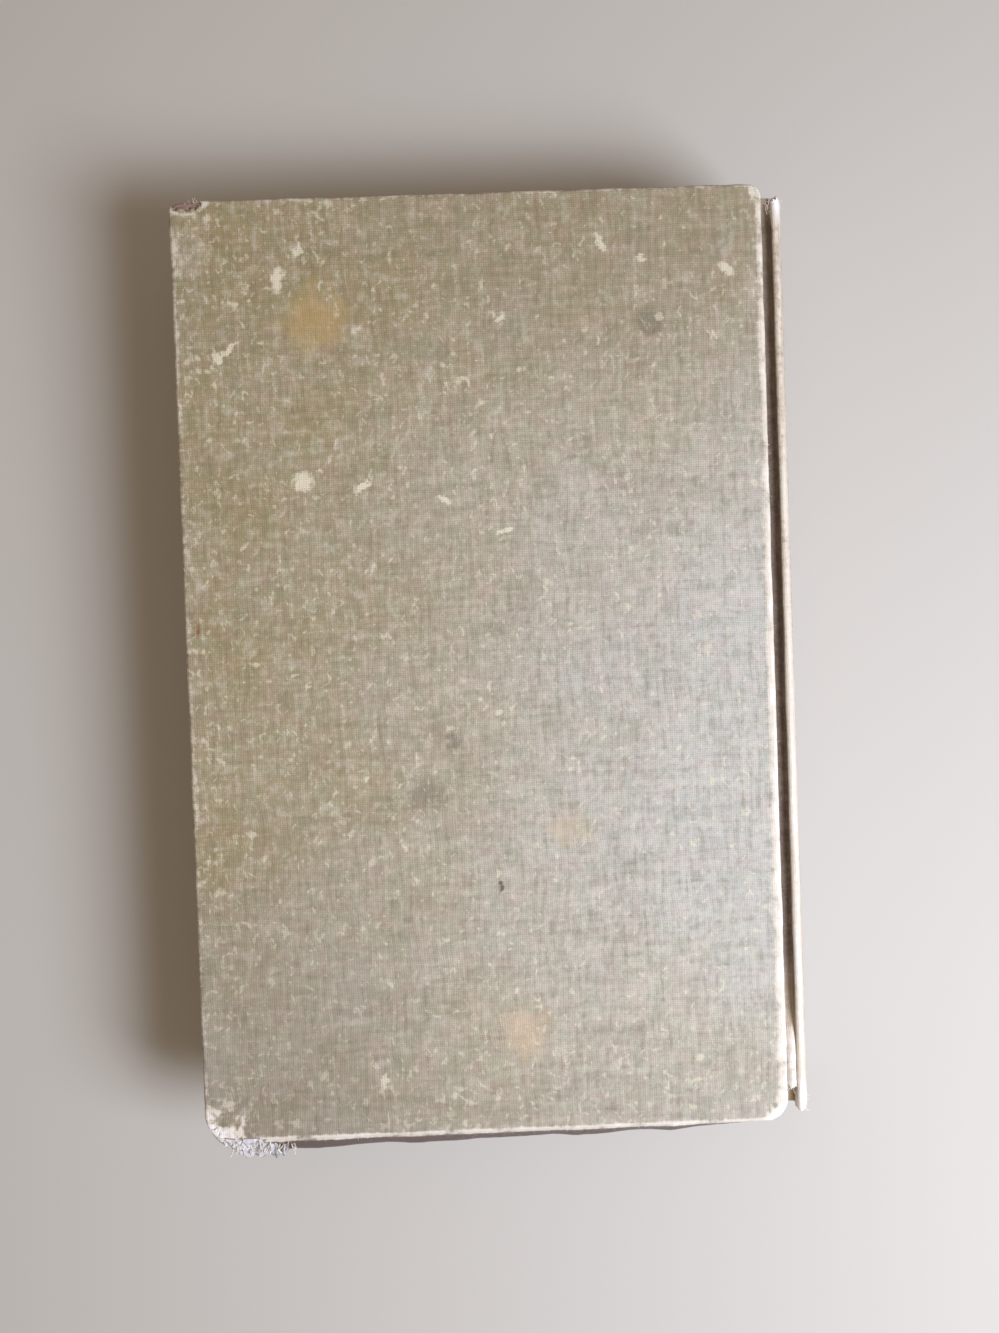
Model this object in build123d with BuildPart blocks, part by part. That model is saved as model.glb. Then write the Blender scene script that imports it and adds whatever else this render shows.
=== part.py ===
from build123d import *
import math
import os

# A worn octavo hardback, case bound in cloth, lying on its front cover with the back cover up.
# Millimetres: X runs from the fore edge to the spine, Y from the tail to the head, Z up.
# The origin is on the table, under the middle of the closed book.
# The covering cloth, the gauze and each endpaper are one sheet on the real book. They cross the two
# joints, so here each is divided at the joints into the pieces that move together.

# Overall sizes
book_height = 190.0  # head to tail, over the boards
book_width = 125.2  # fore edge to the crown of the spine
book_thickness = 28.0  # front cover to back cover

# Sheets and boards
cloth_thickness = 0.3
board_thickness = 2.3
paper_thickness = 0.15
gauze_thickness = 0.15
kraft_thickness = 0.12
card_thickness = 0.4

# The joint: a pressed groove between each board and the shoulder of the spine
groove_width = 2.0
shoulder_radius = 0.75
shoulder_drop = 0.26  # how far the top of the shoulder lies below the face of the cover
cover_gap = 0.15  # air between a pastedown and its flyleaf

# The spine
crown_reach = 4.3  # from the wall of the groove to the crown
head_wear = 2.8  # the spine is worn this much shorter than the boards at the head
tail_wear = 2.0
card_margin = 0.4  # the card's long edges stop this many degrees short of the shoulders
hollow = 0.1  # air between the case's spine and the lining on the leaves

# The covers
square = 3.0  # how far the boards stand past the leaves
turn_in = 15.0  # cloth folded onto the inside of each board
spine_turn_in = 12.0
edge_rounding = 0.8  # cloth over the edge of a board
gauze_flange = 25.0  # gauze pasted to the inside of each board
gauze_margin = 2.0  # from the end of the gauze to the turn-in
back_corners = {"fore_head": 2.2, "fore_tail": 5.5, "joint_head": 2.6, "joint_tail": 4.6}
front_corners = {"fore_head": 1.6, "fore_tail": 2.0, "joint_head": 1.6, "joint_tail": 1.8}
least_corner = 0.5

# Leaves, sewing, lining and headbands
leaf_swell = 0.25  # the leaves thicken by this much as they near the shoulder, and again inside it
swell_start = 1.6  # this far before the wall of the groove
lining_margin = 0.4  # the linings' long edges stop this far short of the leaves' edges
kraft_margin = 2.0
station_count = 6
station_margin = 12.0  # from the first and last sewing stations to the ends of the leaves
kerf_depth = 0.5
kerf_width = 0.6
kerf_overshoot = 1.0
thread_clearance = 0.04
headband_tape = 7.0
headband_margin = 1.8  # the headband stops this far short of the leaves' edges
bead_radius = 0.6

# Places along X and Z, from the front cover up
fore_x = -book_width / 2
spine_x = book_width / 2
wall_x = spine_x - crown_reach  # the spine's side of the groove
joint_x = wall_x - groove_width  # the board's side of the groove
middle_z = book_thickness / 2
board_inner_z = cloth_thickness + board_thickness  # the floor of the groove is level with this
turn_in_z = board_inner_z + cloth_thickness
pastedown_z = turn_in_z + paper_thickness
flyleaf_z = pastedown_z + cover_gap
leaves_z = flyleaf_z + paper_thickness
leaves_top = book_thickness - leaves_z
leaves_fore_x = fore_x + square
leaves_wall_x = wall_x + cloth_thickness + gauze_thickness + paper_thickness
leaves_half = book_height / 2 - square
window_x = fore_x + turn_in  # the bare middle of a board's inside, within the turn-ins
window_high_x = joint_x - cloth_thickness
window_half = book_height / 2 - turn_in
gauze_half = window_half - gauze_margin
spine_head = book_height / 2 - head_wear
spine_tail = tail_wear - book_height / 2

# The round of the spine is one arc, tangent to a small round at each shoulder
shoulder_rise = middle_z - shoulder_drop - shoulder_radius
crown_past_shoulder = crown_reach - shoulder_radius
spine_radius = (crown_past_shoulder**2 + shoulder_rise**2 - shoulder_radius**2) / (
    2 * (crown_past_shoulder - shoulder_radius)
)
centre_x = spine_x - spine_radius
shoulder_x = wall_x + shoulder_radius
shoulder_angle = math.degrees(math.asin(shoulder_rise / (spine_radius - shoulder_radius)))

# The layers of the spine, from the cloth in to the leaves
card_outer = spine_radius - cloth_thickness
card_inner = card_outer - card_thickness
turned_cloth_inner = card_inner - cloth_thickness
kraft_outer = turned_cloth_inner - hollow
gauze_outer = kraft_outer - kraft_thickness
leaves_outer = gauze_outer - gauze_thickness
card_angle = shoulder_angle - card_margin
leaves_angle = math.degrees(math.acos((leaves_wall_x - centre_x) / leaves_outer))


def angle_short_of_edge(margin):
    """Half angle, in degrees, of a strip that stops this far short of the leaves' edges."""
    return leaves_angle - math.degrees(margin / leaves_outer)


def block(x_low, x_high, half_y, z_low, z_high, mode=Mode.ADD):
    """Add a block, centred on Y, to the part being built, or cut it away."""
    with Locations(((x_low + x_high) / 2, 0, (z_low + z_high) / 2)):
        Box(x_high - x_low, 2 * half_y, z_high - z_low, mode=mode)


def spine_strip(inner, outer, half_angle, y_low, y_high, mode=Mode.ADD):
    """Add a strip that follows the round of the spine to the part being built, or cut it away."""
    middle = (centre_x, middle_z)
    with BuildSketch(Plane.XZ.offset(-y_high)) as section:
        with BuildLine():
            outer_arc = CenterArc(middle, outer, -half_angle, 2 * half_angle)
            inner_arc = CenterArc(middle, inner, -half_angle, 2 * half_angle)
            Line(outer_arc @ 0, inner_arc @ 0)
            Line(outer_arc @ 1, inner_arc @ 1)
        make_face()
    extrude(section.sketch, amount=y_high - y_low, mode=mode)


def cover_outline(corners, inset=0.0):
    """The shape of a cover seen flat, each corner rounded as it is worn, or the board inside it."""
    low_x = fore_x + inset
    high_x = joint_x - inset
    half = book_height / 2 - inset
    places = {
        "fore_head": (low_x, half, 0),
        "fore_tail": (low_x, -half, 0),
        "joint_head": (high_x, half, 0),
        "joint_tail": (high_x, -half, 0),
    }
    with BuildSketch() as outline:
        with Locations(((low_x + high_x) / 2, 0)):
            Rectangle(high_x - low_x, 2 * half)
        for name, place in places.items():
            corner = outline.vertices().sort_by_distance(place)[0]
            fillet(corner, max(corners[name] - inset, least_corner))
    return outline.sketch


def cover_board(corners):
    """A millboard as it lies in the front cover, its outer edges eased under the cloth."""
    outline = cover_outline(corners, cloth_thickness)
    with BuildPart() as board:
        with BuildSketch(Plane.XY.offset(cloth_thickness)):
            add(outline)
        extrude(amount=board_thickness)
        outer_face = board.faces().sort_by(Axis.Z)[0]
        fillet(outer_face.edges(), edge_rounding - cloth_thickness)
    return board.part


def cover_cloth(corners, board):
    """Cloth over a board: its face, its edges, and turn-ins round the bare middle of the inside."""
    outline = cover_outline(corners)
    with BuildPart() as cloth:
        with BuildSketch():
            add(outline)
        extrude(amount=turn_in_z)
        outer_face = cloth.faces().sort_by(Axis.Z)[0]
        fillet(outer_face.edges(), edge_rounding)
        add(board, mode=Mode.SUBTRACT)
        block(window_x, window_high_x, window_half, board_inner_z, turn_in_z, Mode.SUBTRACT)
    return cloth.part


def cover_gauze():
    """The flange of the gauze, pasted to the inside of a board along the joint."""
    with BuildPart() as flange:
        top = board_inner_z + gauze_thickness
        block(window_high_x - gauze_flange, window_high_x, gauze_half, board_inner_z, top)
    return flange.part


def pastedown():
    """The pasted half of an endpaper. It steps down from the turn-ins to the gauze and bare board."""
    gauze_x = window_high_x - gauze_flange
    gauze_top = board_inner_z + gauze_thickness
    paper = paper_thickness
    dip_half = window_half - paper
    with BuildPart() as sheet:
        block(leaves_fore_x, joint_x, leaves_half, turn_in_z, pastedown_z)
        block(window_x, window_high_x, window_half, board_inner_z, pastedown_z)
        block(gauze_x, window_high_x, gauze_half, board_inner_z, gauze_top, Mode.SUBTRACT)
        over_gauze = (gauze_x - paper, window_high_x - paper, dip_half, gauze_top + paper, pastedown_z)
        over_board = (window_x + paper, gauze_x - paper, dip_half, board_inner_z + paper, pastedown_z)
        block(*over_gauze, mode=Mode.SUBTRACT)
        block(*over_board, mode=Mode.SUBTRACT)
    return sheet.part


def flyleaf():
    """The free half of an endpaper, lying on the leaves."""
    with BuildPart() as sheet:
        block(leaves_fore_x, wall_x - swell_start, leaves_half, flyleaf_z, leaves_z)
    return sheet.part


def joint_cloth():
    """The cloth on the floor of the groove, from the board's edge to the shoulder."""
    with BuildPart() as strip:
        block(joint_x, wall_x, leaves_half, board_inner_z, turn_in_z)
    return strip.part


def headband(end):
    """A stuck-on headband: a tape on the back of the leaves and a bead over their ends."""
    leaves_end = end * leaves_half
    bead_y = leaves_end + end * bead_radius
    tape_low, tape_high = sorted((leaves_end - end * headband_tape, bead_y))
    half_angle = angle_short_of_edge(headband_margin)
    with BuildPart() as band:
        with BuildLine(Plane.XZ.offset(-bead_y)) as path:
            CenterArc((centre_x, middle_z), gauze_outer - bead_radius, -half_angle, 2 * half_angle)
        with BuildSketch(Plane(origin=path.line @ 0, z_dir=path.line % 0)):
            Circle(bead_radius)
        sweep(path=path.line)
        spine_strip(leaves_outer, gauze_outer, half_angle, tape_low, tape_high)
    return band.part


# Leaves: all the sewn sections as one solid, round at the spine and hollow at the fore edge
station_span = leaves_half - station_margin
stations = [station_span * (2 * i / (station_count - 1) - 1) for i in range(station_count)]
hollow_depth = leaves_outer - math.sqrt(leaves_outer**2 - (leaves_top - middle_z) ** 2)
with BuildPart() as text_block:
    with BuildSketch(Plane.XZ.offset(-leaves_half)):
        with BuildLine():
            back = CenterArc((centre_x, middle_z), leaves_outer, -leaves_angle, 2 * leaves_angle)
            fore_top = (leaves_fore_x, leaves_top)
            fore_low = (leaves_fore_x, leaves_z)
            ThreePointArc(fore_top, (leaves_fore_x + hollow_depth, middle_z), fore_low)
            Polyline(
                fore_top,
                (wall_x - swell_start, leaves_top),
                (wall_x, leaves_top + leaf_swell),
                (leaves_wall_x, leaves_top + 2 * leaf_swell),
                back @ 1,
            )
            Polyline(
                fore_low,
                (wall_x - swell_start, leaves_z),
                (wall_x, leaves_z - leaf_swell),
                (leaves_wall_x, leaves_z - 2 * leaf_swell),
                back @ 0,
            )
        make_face()
    extrude(amount=2 * leaves_half)
    for station in stations:
        spine_strip(
            leaves_outer - kerf_depth,
            leaves_outer + kerf_overshoot,
            leaves_angle + kerf_overshoot,
            station - kerf_width / 2,
            station + kerf_width / 2,
            mode=Mode.SUBTRACT,
        )
text_block.part.label = "text_block"

# Sewing thread: a run of stitches across the folded sections, let into the leaves at each station
with BuildPart() as sewing_thread:
    for station in stations:
        spine_strip(
            leaves_outer - kerf_depth + thread_clearance,
            leaves_outer - thread_clearance,
            angle_short_of_edge(lining_margin),
            station - kerf_width / 2 + thread_clearance,
            station + kerf_width / 2 - thread_clearance,
        )
sewing_thread.part.label = "sewing_thread"

# Headbands, at the two ends of the leaves
head_band = headband(1)
head_band.label = "head_band"
tail_band = headband(-1)
tail_band.label = "tail_band"

# Linings on the back of the leaves
with BuildPart() as spine_gauze:
    lining_angle = angle_short_of_edge(lining_margin)
    spine_strip(leaves_outer, gauze_outer, lining_angle, -gauze_half, gauze_half)
spine_gauze.part.label = "spine_gauze"

with BuildPart() as spine_kraft:
    kraft_half = leaves_half - kraft_margin
    spine_strip(gauze_outer, kraft_outer, lining_angle, -kraft_half, kraft_half)
spine_kraft.part.label = "spine_kraft"

# The case's spine: a strip of card inside the cloth
card_tail = spine_tail + cloth_thickness
card_head = spine_head - cloth_thickness
with BuildPart() as spine_card:
    spine_strip(card_inner, card_outer, card_angle, card_tail, card_head)
spine_card.part.label = "spine_card"

# Spine cloth: over the card, round both shoulders and down to the floor of each groove
with BuildPart() as spine_cloth:
    with BuildSketch(Plane.XZ.offset(-spine_head)):
        with BuildLine():
            CenterArc((centre_x, middle_z), spine_radius, -shoulder_angle, 2 * shoulder_angle)
            CenterArc((centre_x, middle_z), card_outer, -shoulder_angle, 2 * shoulder_angle)
            for side in (1, -1):
                centre = (shoulder_x, middle_z + side * shoulder_rise)
                start = side * shoulder_angle
                turn = side * (180 - shoulder_angle)
                outer_round = CenterArc(centre, shoulder_radius, start, turn)
                inner_round = CenterArc(centre, shoulder_radius - cloth_thickness, start, turn)
                foot_z = middle_z + side * (middle_z - turn_in_z)
                foot = (wall_x, foot_z)
                inner_foot = (wall_x + cloth_thickness, foot_z)
                Polyline(outer_round @ 1, foot, inner_foot, inner_round @ 1)
        make_face()
    extrude(amount=spine_head - spine_tail)
    folds = ((spine_tail, card_tail), (card_head, spine_head))
    turned = ((spine_tail, spine_tail + spine_turn_in), (spine_head - spine_turn_in, spine_head))
    for low, high in folds:
        spine_strip(card_inner, card_outer + cloth_thickness / 2, card_angle, low, high)
    for low, high in turned:
        spine_strip(turned_cloth_inner, card_inner, card_angle, low, high)
spine_cloth.part.label = "spine_cloth"

pieces = [
    text_block.part,
    sewing_thread.part,
    head_band,
    tail_band,
    spine_gauze.part,
    spine_kraft.part,
    spine_card.part,
    spine_cloth.part,
]

# Both covers hold the same pieces, mirrored. Only their corners are worn differently.
for cover, corners in (("front", front_corners), ("back", back_corners)):
    board = cover_board(corners)
    cover_pieces = {
        "board": board,
        "cloth": cover_cloth(corners, board),
        "gauze_flange": cover_gauze(),
        "pastedown": pastedown(),
        "flyleaf": flyleaf(),
        "joint_cloth": joint_cloth(),
    }
    for name, piece in cover_pieces.items():
        if cover == "back":
            piece = mirror(piece, about=Plane.XY.offset(middle_z))
        piece.label = f"{cover}_{name}"
        pieces.append(piece)

os.makedirs("parts", exist_ok=True)
for piece in pieces:
    export_step(piece, f"parts/{piece.label}.step")
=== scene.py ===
# %% [markdown]
# # A worn cloth hardback
# The book lies on its front cover, with the plain back cover up and the spine to the right.
# The frame below is its construction: boards, leaves, linings and the two cover hinges, at real size.
# This lesson dresses that frame. It weaves and wears the cloth, cuts the leaves, winds the headbands
# and frays the corners. Every place is taken from the frame, so nothing has to be fitted afterwards.

# %% Load the frame
import math
import random

import bmesh
import bpy
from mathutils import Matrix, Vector, noise


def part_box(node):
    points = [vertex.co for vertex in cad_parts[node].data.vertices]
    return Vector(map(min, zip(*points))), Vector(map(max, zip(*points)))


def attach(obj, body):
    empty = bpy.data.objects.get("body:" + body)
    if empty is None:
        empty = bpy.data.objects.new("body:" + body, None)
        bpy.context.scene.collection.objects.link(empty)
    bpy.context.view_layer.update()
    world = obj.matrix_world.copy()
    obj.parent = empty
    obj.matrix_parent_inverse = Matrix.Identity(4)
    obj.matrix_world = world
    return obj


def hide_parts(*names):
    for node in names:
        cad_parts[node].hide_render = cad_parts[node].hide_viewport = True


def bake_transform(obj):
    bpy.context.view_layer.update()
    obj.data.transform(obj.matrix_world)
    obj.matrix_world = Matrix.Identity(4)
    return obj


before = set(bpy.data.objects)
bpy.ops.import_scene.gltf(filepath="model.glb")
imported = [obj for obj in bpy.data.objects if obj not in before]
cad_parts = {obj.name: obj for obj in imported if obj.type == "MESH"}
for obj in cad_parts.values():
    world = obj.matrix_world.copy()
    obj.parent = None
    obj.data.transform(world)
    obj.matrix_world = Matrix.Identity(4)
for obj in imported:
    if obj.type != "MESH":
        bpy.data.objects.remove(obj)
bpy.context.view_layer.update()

MM = 0.001
scene = bpy.context.scene

# %% [markdown]
# ## Sizes
# A bookbinder measures a case from the boards: fore edge, joint edge, head and tail. The frame gives
# all four, and the thickness. We keep them in millimetres, because that is how a binder thinks, and
# turn points into metres only when a mesh is made.

# %% Read the sizes from the frame
def extent(node):
    """A frame node's lowest and highest corner, in millimetres."""
    low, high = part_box(node)
    return [v / MM for v in low], [v / MM for v in high]


cover_low, cover_high = extent("back_cloth")
spine_low, spine_high = extent("spine_cloth")
board_low = extent("back_board")[0]
leaves_low, leaves_high = extent("text_block")
flyleaf_low, flyleaf_high = extent("back_flyleaf")
thickness = cover_high[2]
middle_z = thickness / 2
cover_depth = thickness - cover_low[2]
cloth = board_low[0] - cover_low[0]
fore_x, joint_x = cover_low[0], cover_high[0]
tail_y, head_y = cover_low[1], cover_high[1]
wall_x, spine_x = spine_low[0], spine_high[0]
print(f"cover {joint_x - fore_x:.1f} x {head_y - tail_y:.1f} mm, {cover_depth:.1f} mm thick")

# %% [markdown]
# ## Small helpers
# Shaders and geometry are both node trees here, so one function adds a node, sets it and links it.
# It fills the sockets with feed, which also serves the shaders that Blender has already made. Hex
# colours from a paint chart are sRGB, so they turn into the linear numbers that light mixes with.

# %% Helpers for nodes, colours and meshes
def linear(hex_colour):
    """An sRGB hex colour as linear red, green, blue and alpha."""
    channels = [int(hex_colour[i : i + 2], 16) / 255 for i in (1, 3, 5)]
    return [c / 12.92 if c <= 0.04045 else ((c + 0.055) / 1.055) ** 2.4 for c in channels] + [1.0]


def feed(made, inputs):
    """Sets each socket to a value or a hex colour, or links it to an output or to a node's first one."""
    for key, value in inputs.items():
        if isinstance(value, bpy.types.Node):
            value = next(output for output in value.outputs if output.enabled)
        if isinstance(value, bpy.types.NodeSocket):
            made.id_data.links.new(value, made.inputs[key])
        elif isinstance(value, str) and value.startswith("#"):
            made.inputs[key].default_value = linear(value)
        else:
            made.inputs[key].default_value = value


SECOND_WORD = {"MapRange": "interpolation_type", "Mix": "data_type"}  # for all others, the operation


def node(tree, kind, inputs=None, **settings):
    """Adds a node. A kind without "Node" in it is a shader node, and may have its main setting after it."""
    kind, _, main_setting = kind.partition(" ")
    made = tree.nodes.new(kind if "Node" in kind else "ShaderNode" + kind)
    if main_setting:
        settings[SECOND_WORD.get(kind, "operation")] = main_setting
    for name, value in settings.items():
        setattr(made, name, value)
    feed(made, inputs or {})
    return made


def new_material(name):
    """A material with a bare Principled shader: returns the material, its tree and the shader."""
    made = bpy.data.materials.new(name)
    made.use_nodes = True
    return made, made.node_tree, made.node_tree.nodes["Principled BSDF"]


def new_piece(name, points, faces, material, attributes=None):
    """A smooth mesh object from points in millimetres, with one float attribute per given name."""
    mesh = bpy.data.meshes.new(name)
    mesh.from_pydata([(x * MM, y * MM, z * MM) for x, y, z in points], [], faces)
    for key, values in (attributes or {}).items():
        mesh.attributes.new(key, "FLOAT", "POINT").data.foreach_set("value", values)
    mesh.materials.append(material)
    mesh.shade_smooth()
    obj = bpy.data.objects.new(name, mesh)
    scene.collection.objects.link(obj)
    return obj


def clean(obj, merge=0.002):
    """Merges points that coincide and drops faces with no area."""
    work = bmesh.new()
    work.from_mesh(obj.data)
    bmesh.ops.remove_doubles(work, verts=work.verts, dist=merge * MM)
    bmesh.ops.dissolve_degenerate(work, edges=work.edges, dist=merge * MM / 4)
    work.to_mesh(obj.data)
    work.free()


def new_paint():
    """An empty list for each thing painted on book cloth."""
    return {name: [] for name in ("wear_and_highlight", "grime_and_shade", "handled", "fade_and_sheen")}


def grid_faces(rows, count, turned=False, first=0):
    """Four-sided faces between rows of count points each."""
    faces = []
    for a in (first + row * count + i for row in range(rows - 1) for i in range(count - 1)):
        quad = (a, a + 1, a + count + 1, a + count)
        faces.append(quad[::-1] if turned else quad)
    return faces


def settle(obj):
    """Turns a piece's modifiers into plain mesh."""
    graph = bpy.context.evaluated_depsgraph_get()
    mesh = bpy.data.meshes.new_from_object(obj.evaluated_get(graph))
    mesh.name = obj.name
    obj.modifiers.clear()
    obj.data = mesh
    print(obj.name, len(mesh.polygons), "faces")


def thicken(obj, wall, offset=-1):
    """Makes a sheet wall mm thick, to one side for offset -1 and to both for 0."""
    solid = obj.modifiers.new("thickness", "SOLIDIFY")
    solid.thickness, solid.offset = wall * MM, offset
    settle(obj)
    return obj


def wander(x, y, z, size, seed=0.0):
    """Smooth noise from about -1 to 1, with bumps about size millimetres apart."""
    return noise.noise(Vector((x / size + seed, y / size - seed, z / size)))


def ease(value, low, high):
    """0 below low, 1 above high, and a smooth step between them. Low may be the larger."""
    t = min(max((value - low) / (high - low), 0.0), 1.0)
    return t * t * (3 - 2 * t)


# %% [markdown]
# ## Book cloth
# Starch-filled calico is a plain weave: warp threads run up the book and weft threads across it. The
# filler is coloured, and where handling rubs it off, the bare cotton shows as cream. So the colour
# is built in the order it happened. First come dyed threads of uneven thickness, then broad fading,
# partly a painted cool sheen towards the lower right, spilt stains, small grazes, dirt and painted
# shade in the hollows and along the tail, and last of all rubbed edges, partly a painted highlight.
# Four attributes painted on the mesh say where sun and hands and dust have been, and where light and
# shade are painted: fading with sheen, handling, wear with highlight, and grime with shade.

# %% Places of the stains and of the larger grazes
THREAD_PITCH = 0.46  # mm; the real cloth has about 0.35, which is too fine to show
SLUB_WIDTH = 0.95  # mm; two threads side by side, both thick or both thin
SLUB_LENGTH = 8.0  # mm; how far a thread stays thick or thin
STAINS = (  # x, y, radius in mm, colour, strength
    (-34.5, 70.8, 5.6, "#BE9C5E", 0.52),
    (2.8, -74.3, 5.0, "#D0B08A", 0.36),
    (13.5, -33.0, 3.8, "#C9AF86", 0.3),
    (33.0, 68.0, 2.6, "#5F564B", 0.42),
    (-9.0, -15.8, 1.6, "#5C5046", 0.5),
    (-15.5, -25.5, 3.4, "#6F6757", 0.42),
    (-0.4, -46.2, 0.6, "#4E4038", 0.85),
    (-59.9, 9.2, 0.8, "#7A3F30", 0.7),
)
GRAZES = (  # x, y, length, width in mm, turn in degrees
    (-41.4, 78.6, 4.4, 2.0, 80),
    (-37.0, 84.5, 2.2, 1.5, 70),
    (-52.0, 64.6, 4.4, 1.0, 42),
    (-54.0, 63.6, 2.8, 1.3, 120),
    (-37.7, 38.2, 3.4, 3.2, 0),
    (-25.9, 36.6, 3.4, 1.0, 35),
    (-9.5, 33.4, 2.4, 1.0, 150),
    (23.6, 84.0, 3.4, 1.2, 120),
    (31.5, 80.7, 1.4, 1.1, 0),
    (48.9, 78.2, 3.0, 1.3, 145),
    (3.0, 69.6, 2.2, 1.3, 60),
    (2.5, 27.2, 3.2, 0.9, 20),
    (-25.7, -83.4, 2.2, 1.5, 90),
    (-57.7, -87.2, 2.4, 1.7, 0),
)


# %% Weave, thread by thread
def weave(tree, place, pitch_mm):
    """Relief of a plain weave of this pitch. The threads lie in x and y, and also run over edges."""
    pitches = node(tree, "VectorMath SCALE", {0: place, "Scale": 1 / (pitch_mm * MM)})
    split = node(tree, "SeparateXYZ", {0: pitches})
    across = node(tree, "Math ADD", {0: split.outputs[0], 1: split.outputs[2]})
    tops, waves = [], []
    for along in (across, split.outputs[1]):
        turn = node(tree, "Math MULTIPLY", {0: along, 1: math.pi})
        waves.append(node(tree, "Math SINE", {0: turn}))
        tops.append(node(tree, "Math ABSOLUTE", {0: waves[-1]}))
    checks = node(tree, "Math MULTIPLY", {0: waves[0], 1: waves[1]})
    warp_on_top = node(tree, "MapRange", {0: checks, 1: -0.35, 2: 0.35})
    return node(tree, "Mix", {0: warp_on_top, 2: tops[1], 3: tops[0]})


# %% Book cloth, step by step
def dyed_threads(tree, place, dyed, faded):
    """The colour before any damage, and how thick the thread is at each place."""
    slubs = []
    for stretch in ((SLUB_WIDTH, SLUB_LENGTH, SLUB_WIDTH), (SLUB_LENGTH, SLUB_WIDTH, SLUB_LENGTH)):
        scales = tuple(1 / (length * MM) for length in stretch)
        drawn = node(tree, "VectorMath MULTIPLY", {0: place, 1: scales})
        slubs.append(node(tree, "TexNoise", {0: drawn, "Scale": 1.0, "Detail": 2.0}))
    thick = node(tree, "Mix", {0: 0.4, 2: slubs[0], 3: slubs[1]})

    blotch = node(tree, "TexNoise", {0: place, "Scale": 42.0, "Detail": 3.0, "Roughness": 0.6})
    mottle = node(tree, "TexNoise", {0: place, "Scale": 210.0, "Detail": 3.0, "Roughness": 0.6})
    patch = node(tree, "TexNoise", {0: place, "Scale": 400.0, "Detail": 2.0, "Roughness": 0.6})
    # This attribute holds sun-fading, and on the back cover also a painted cool sheen towards the lower right,
    # so the mix towards the faded colour carries both.
    sun = node(tree, "Attribute", attribute_name="fade_and_sheen").outputs["Fac"]
    uneven = node(tree, "MapRange", {0: blotch, 1: 0.34, 2: 0.66, 3: -0.1, 4: 0.1})
    faded_and_sheened = node(tree, "Math ADD", {0: sun, 1: uneven}, use_clamp=True)
    colour = node(tree, "Mix RGBA", {0: faded_and_sheened, 6: dyed, 7: faded})
    # Each row: what decides, where it starts, where it is full, how strong, and the colour laid over
    for value, low, high, most, laid in (
        (mottle, 0.6, 0.36, 0.3, "#8E9072"), (mottle, 0.42, 0.66, 0.3, "#AE9486"),
        (patch, 0.5, 0.34, 0.14, "#75694F"), (patch, 0.54, 0.7, 0.28, "#D0CABA"),
        (thick, 0.52, 0.3, 0.38, "#6F634B"), (thick, 0.5, 0.72, 0.46, "#CBC3AE"),
    ):
        amount = node(tree, "MapRange SMOOTHSTEP", {0: value, 1: low, 2: high, 4: most})
        colour = node(tree, "Mix RGBA", {0: amount, 6: colour, 7: laid})
    return colour, thick


def rubbed_curls(tree, place, curled, handled):
    """Curls and islands where handling has broken the filler."""
    # Curls: the places where a smooth noise passes through one value, kept only here and there
    lines = node(tree, "TexNoise", {0: place, "Scale": 1 / (3.4 * MM), "Detail": 1.0})
    from_line = node(tree, "Math SUBTRACT", {0: lines, 1: 0.53})
    off_line = node(tree, "Math ABSOLUTE", {0: from_line})
    kept = node(tree, "TexNoise", {0: curled, "Scale": 1 / (2.2 * MM), "Detail": 1.0})
    kept = node(tree, "Math MULTIPLY_ADD", {0: handled, 1: 0.14, 2: kept})

    # Islands: thin filler gives way in small ragged patches, longest along the warp
    scales = (1 / (1.35 * MM), 1 / (1.9 * MM), 1 / (1.35 * MM))
    drawn = node(tree, "VectorMath MULTIPLY", {0: place, 1: scales})
    islands = node(tree, "TexNoise", {0: drawn, "Scale": 1.0, "Detail": 2.0, "Distortion": 0.8})
    islands = node(tree, "Math MULTIPLY_ADD", {0: handled, 1: 0.07, 2: islands})
    steps = []
    for value, low, high, most in (
        (off_line, 0.12, 0.03, 1.0), (kept, 0.74, 0.87, 0.8), (islands, 0.66, 0.78, 0.7)
    ):
        steps.append(node(tree, "MapRange SMOOTHSTEP", {0: value, 1: low, 2: high, 4: most}))
    curls = node(tree, "Math MULTIPLY", {0: steps[0], 1: steps[1]})
    return node(tree, "Math MAXIMUM", {0: curls, 1: steps[2]})


def rubbed_specks(tree, curled, handled, bare):
    """Adds specks of two sizes, scattered by cells and chosen by chance."""
    for spacing, largest, share in ((2.6, 0.58, 0.5), (6.0, 1.15, 0.43)):
        cells = node(tree, "TexVoronoi", {0: curled, "Scale": 1 / (spacing * MM)})
        chance = node(tree, "SeparateColor", {0: cells.outputs["Color"]})
        luck = node(tree, "Math MULTIPLY", {0: handled, 1: share})
        spare = node(tree, "Math SUBTRACT", {0: luck, 1: chance.outputs[0]})
        size = node(tree, "MapRange", {0: spare, 1: 0.0, 2: 0.35, 4: largest / spacing})
        inside = node(tree, "Math SUBTRACT", {0: size, 1: cells.outputs["Distance"]})
        strength = node(tree, "MapRange", {0: chance.outputs[1], 3: 0.15, 4: 0.85})
        speck = node(tree, "MapRange SMOOTHSTEP", {0: inside, 1: -0.06, 2: 0.12, 4: strength})
        bare = node(tree, "Math MAXIMUM", {0: bare, 1: speck})
    return bare


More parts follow.
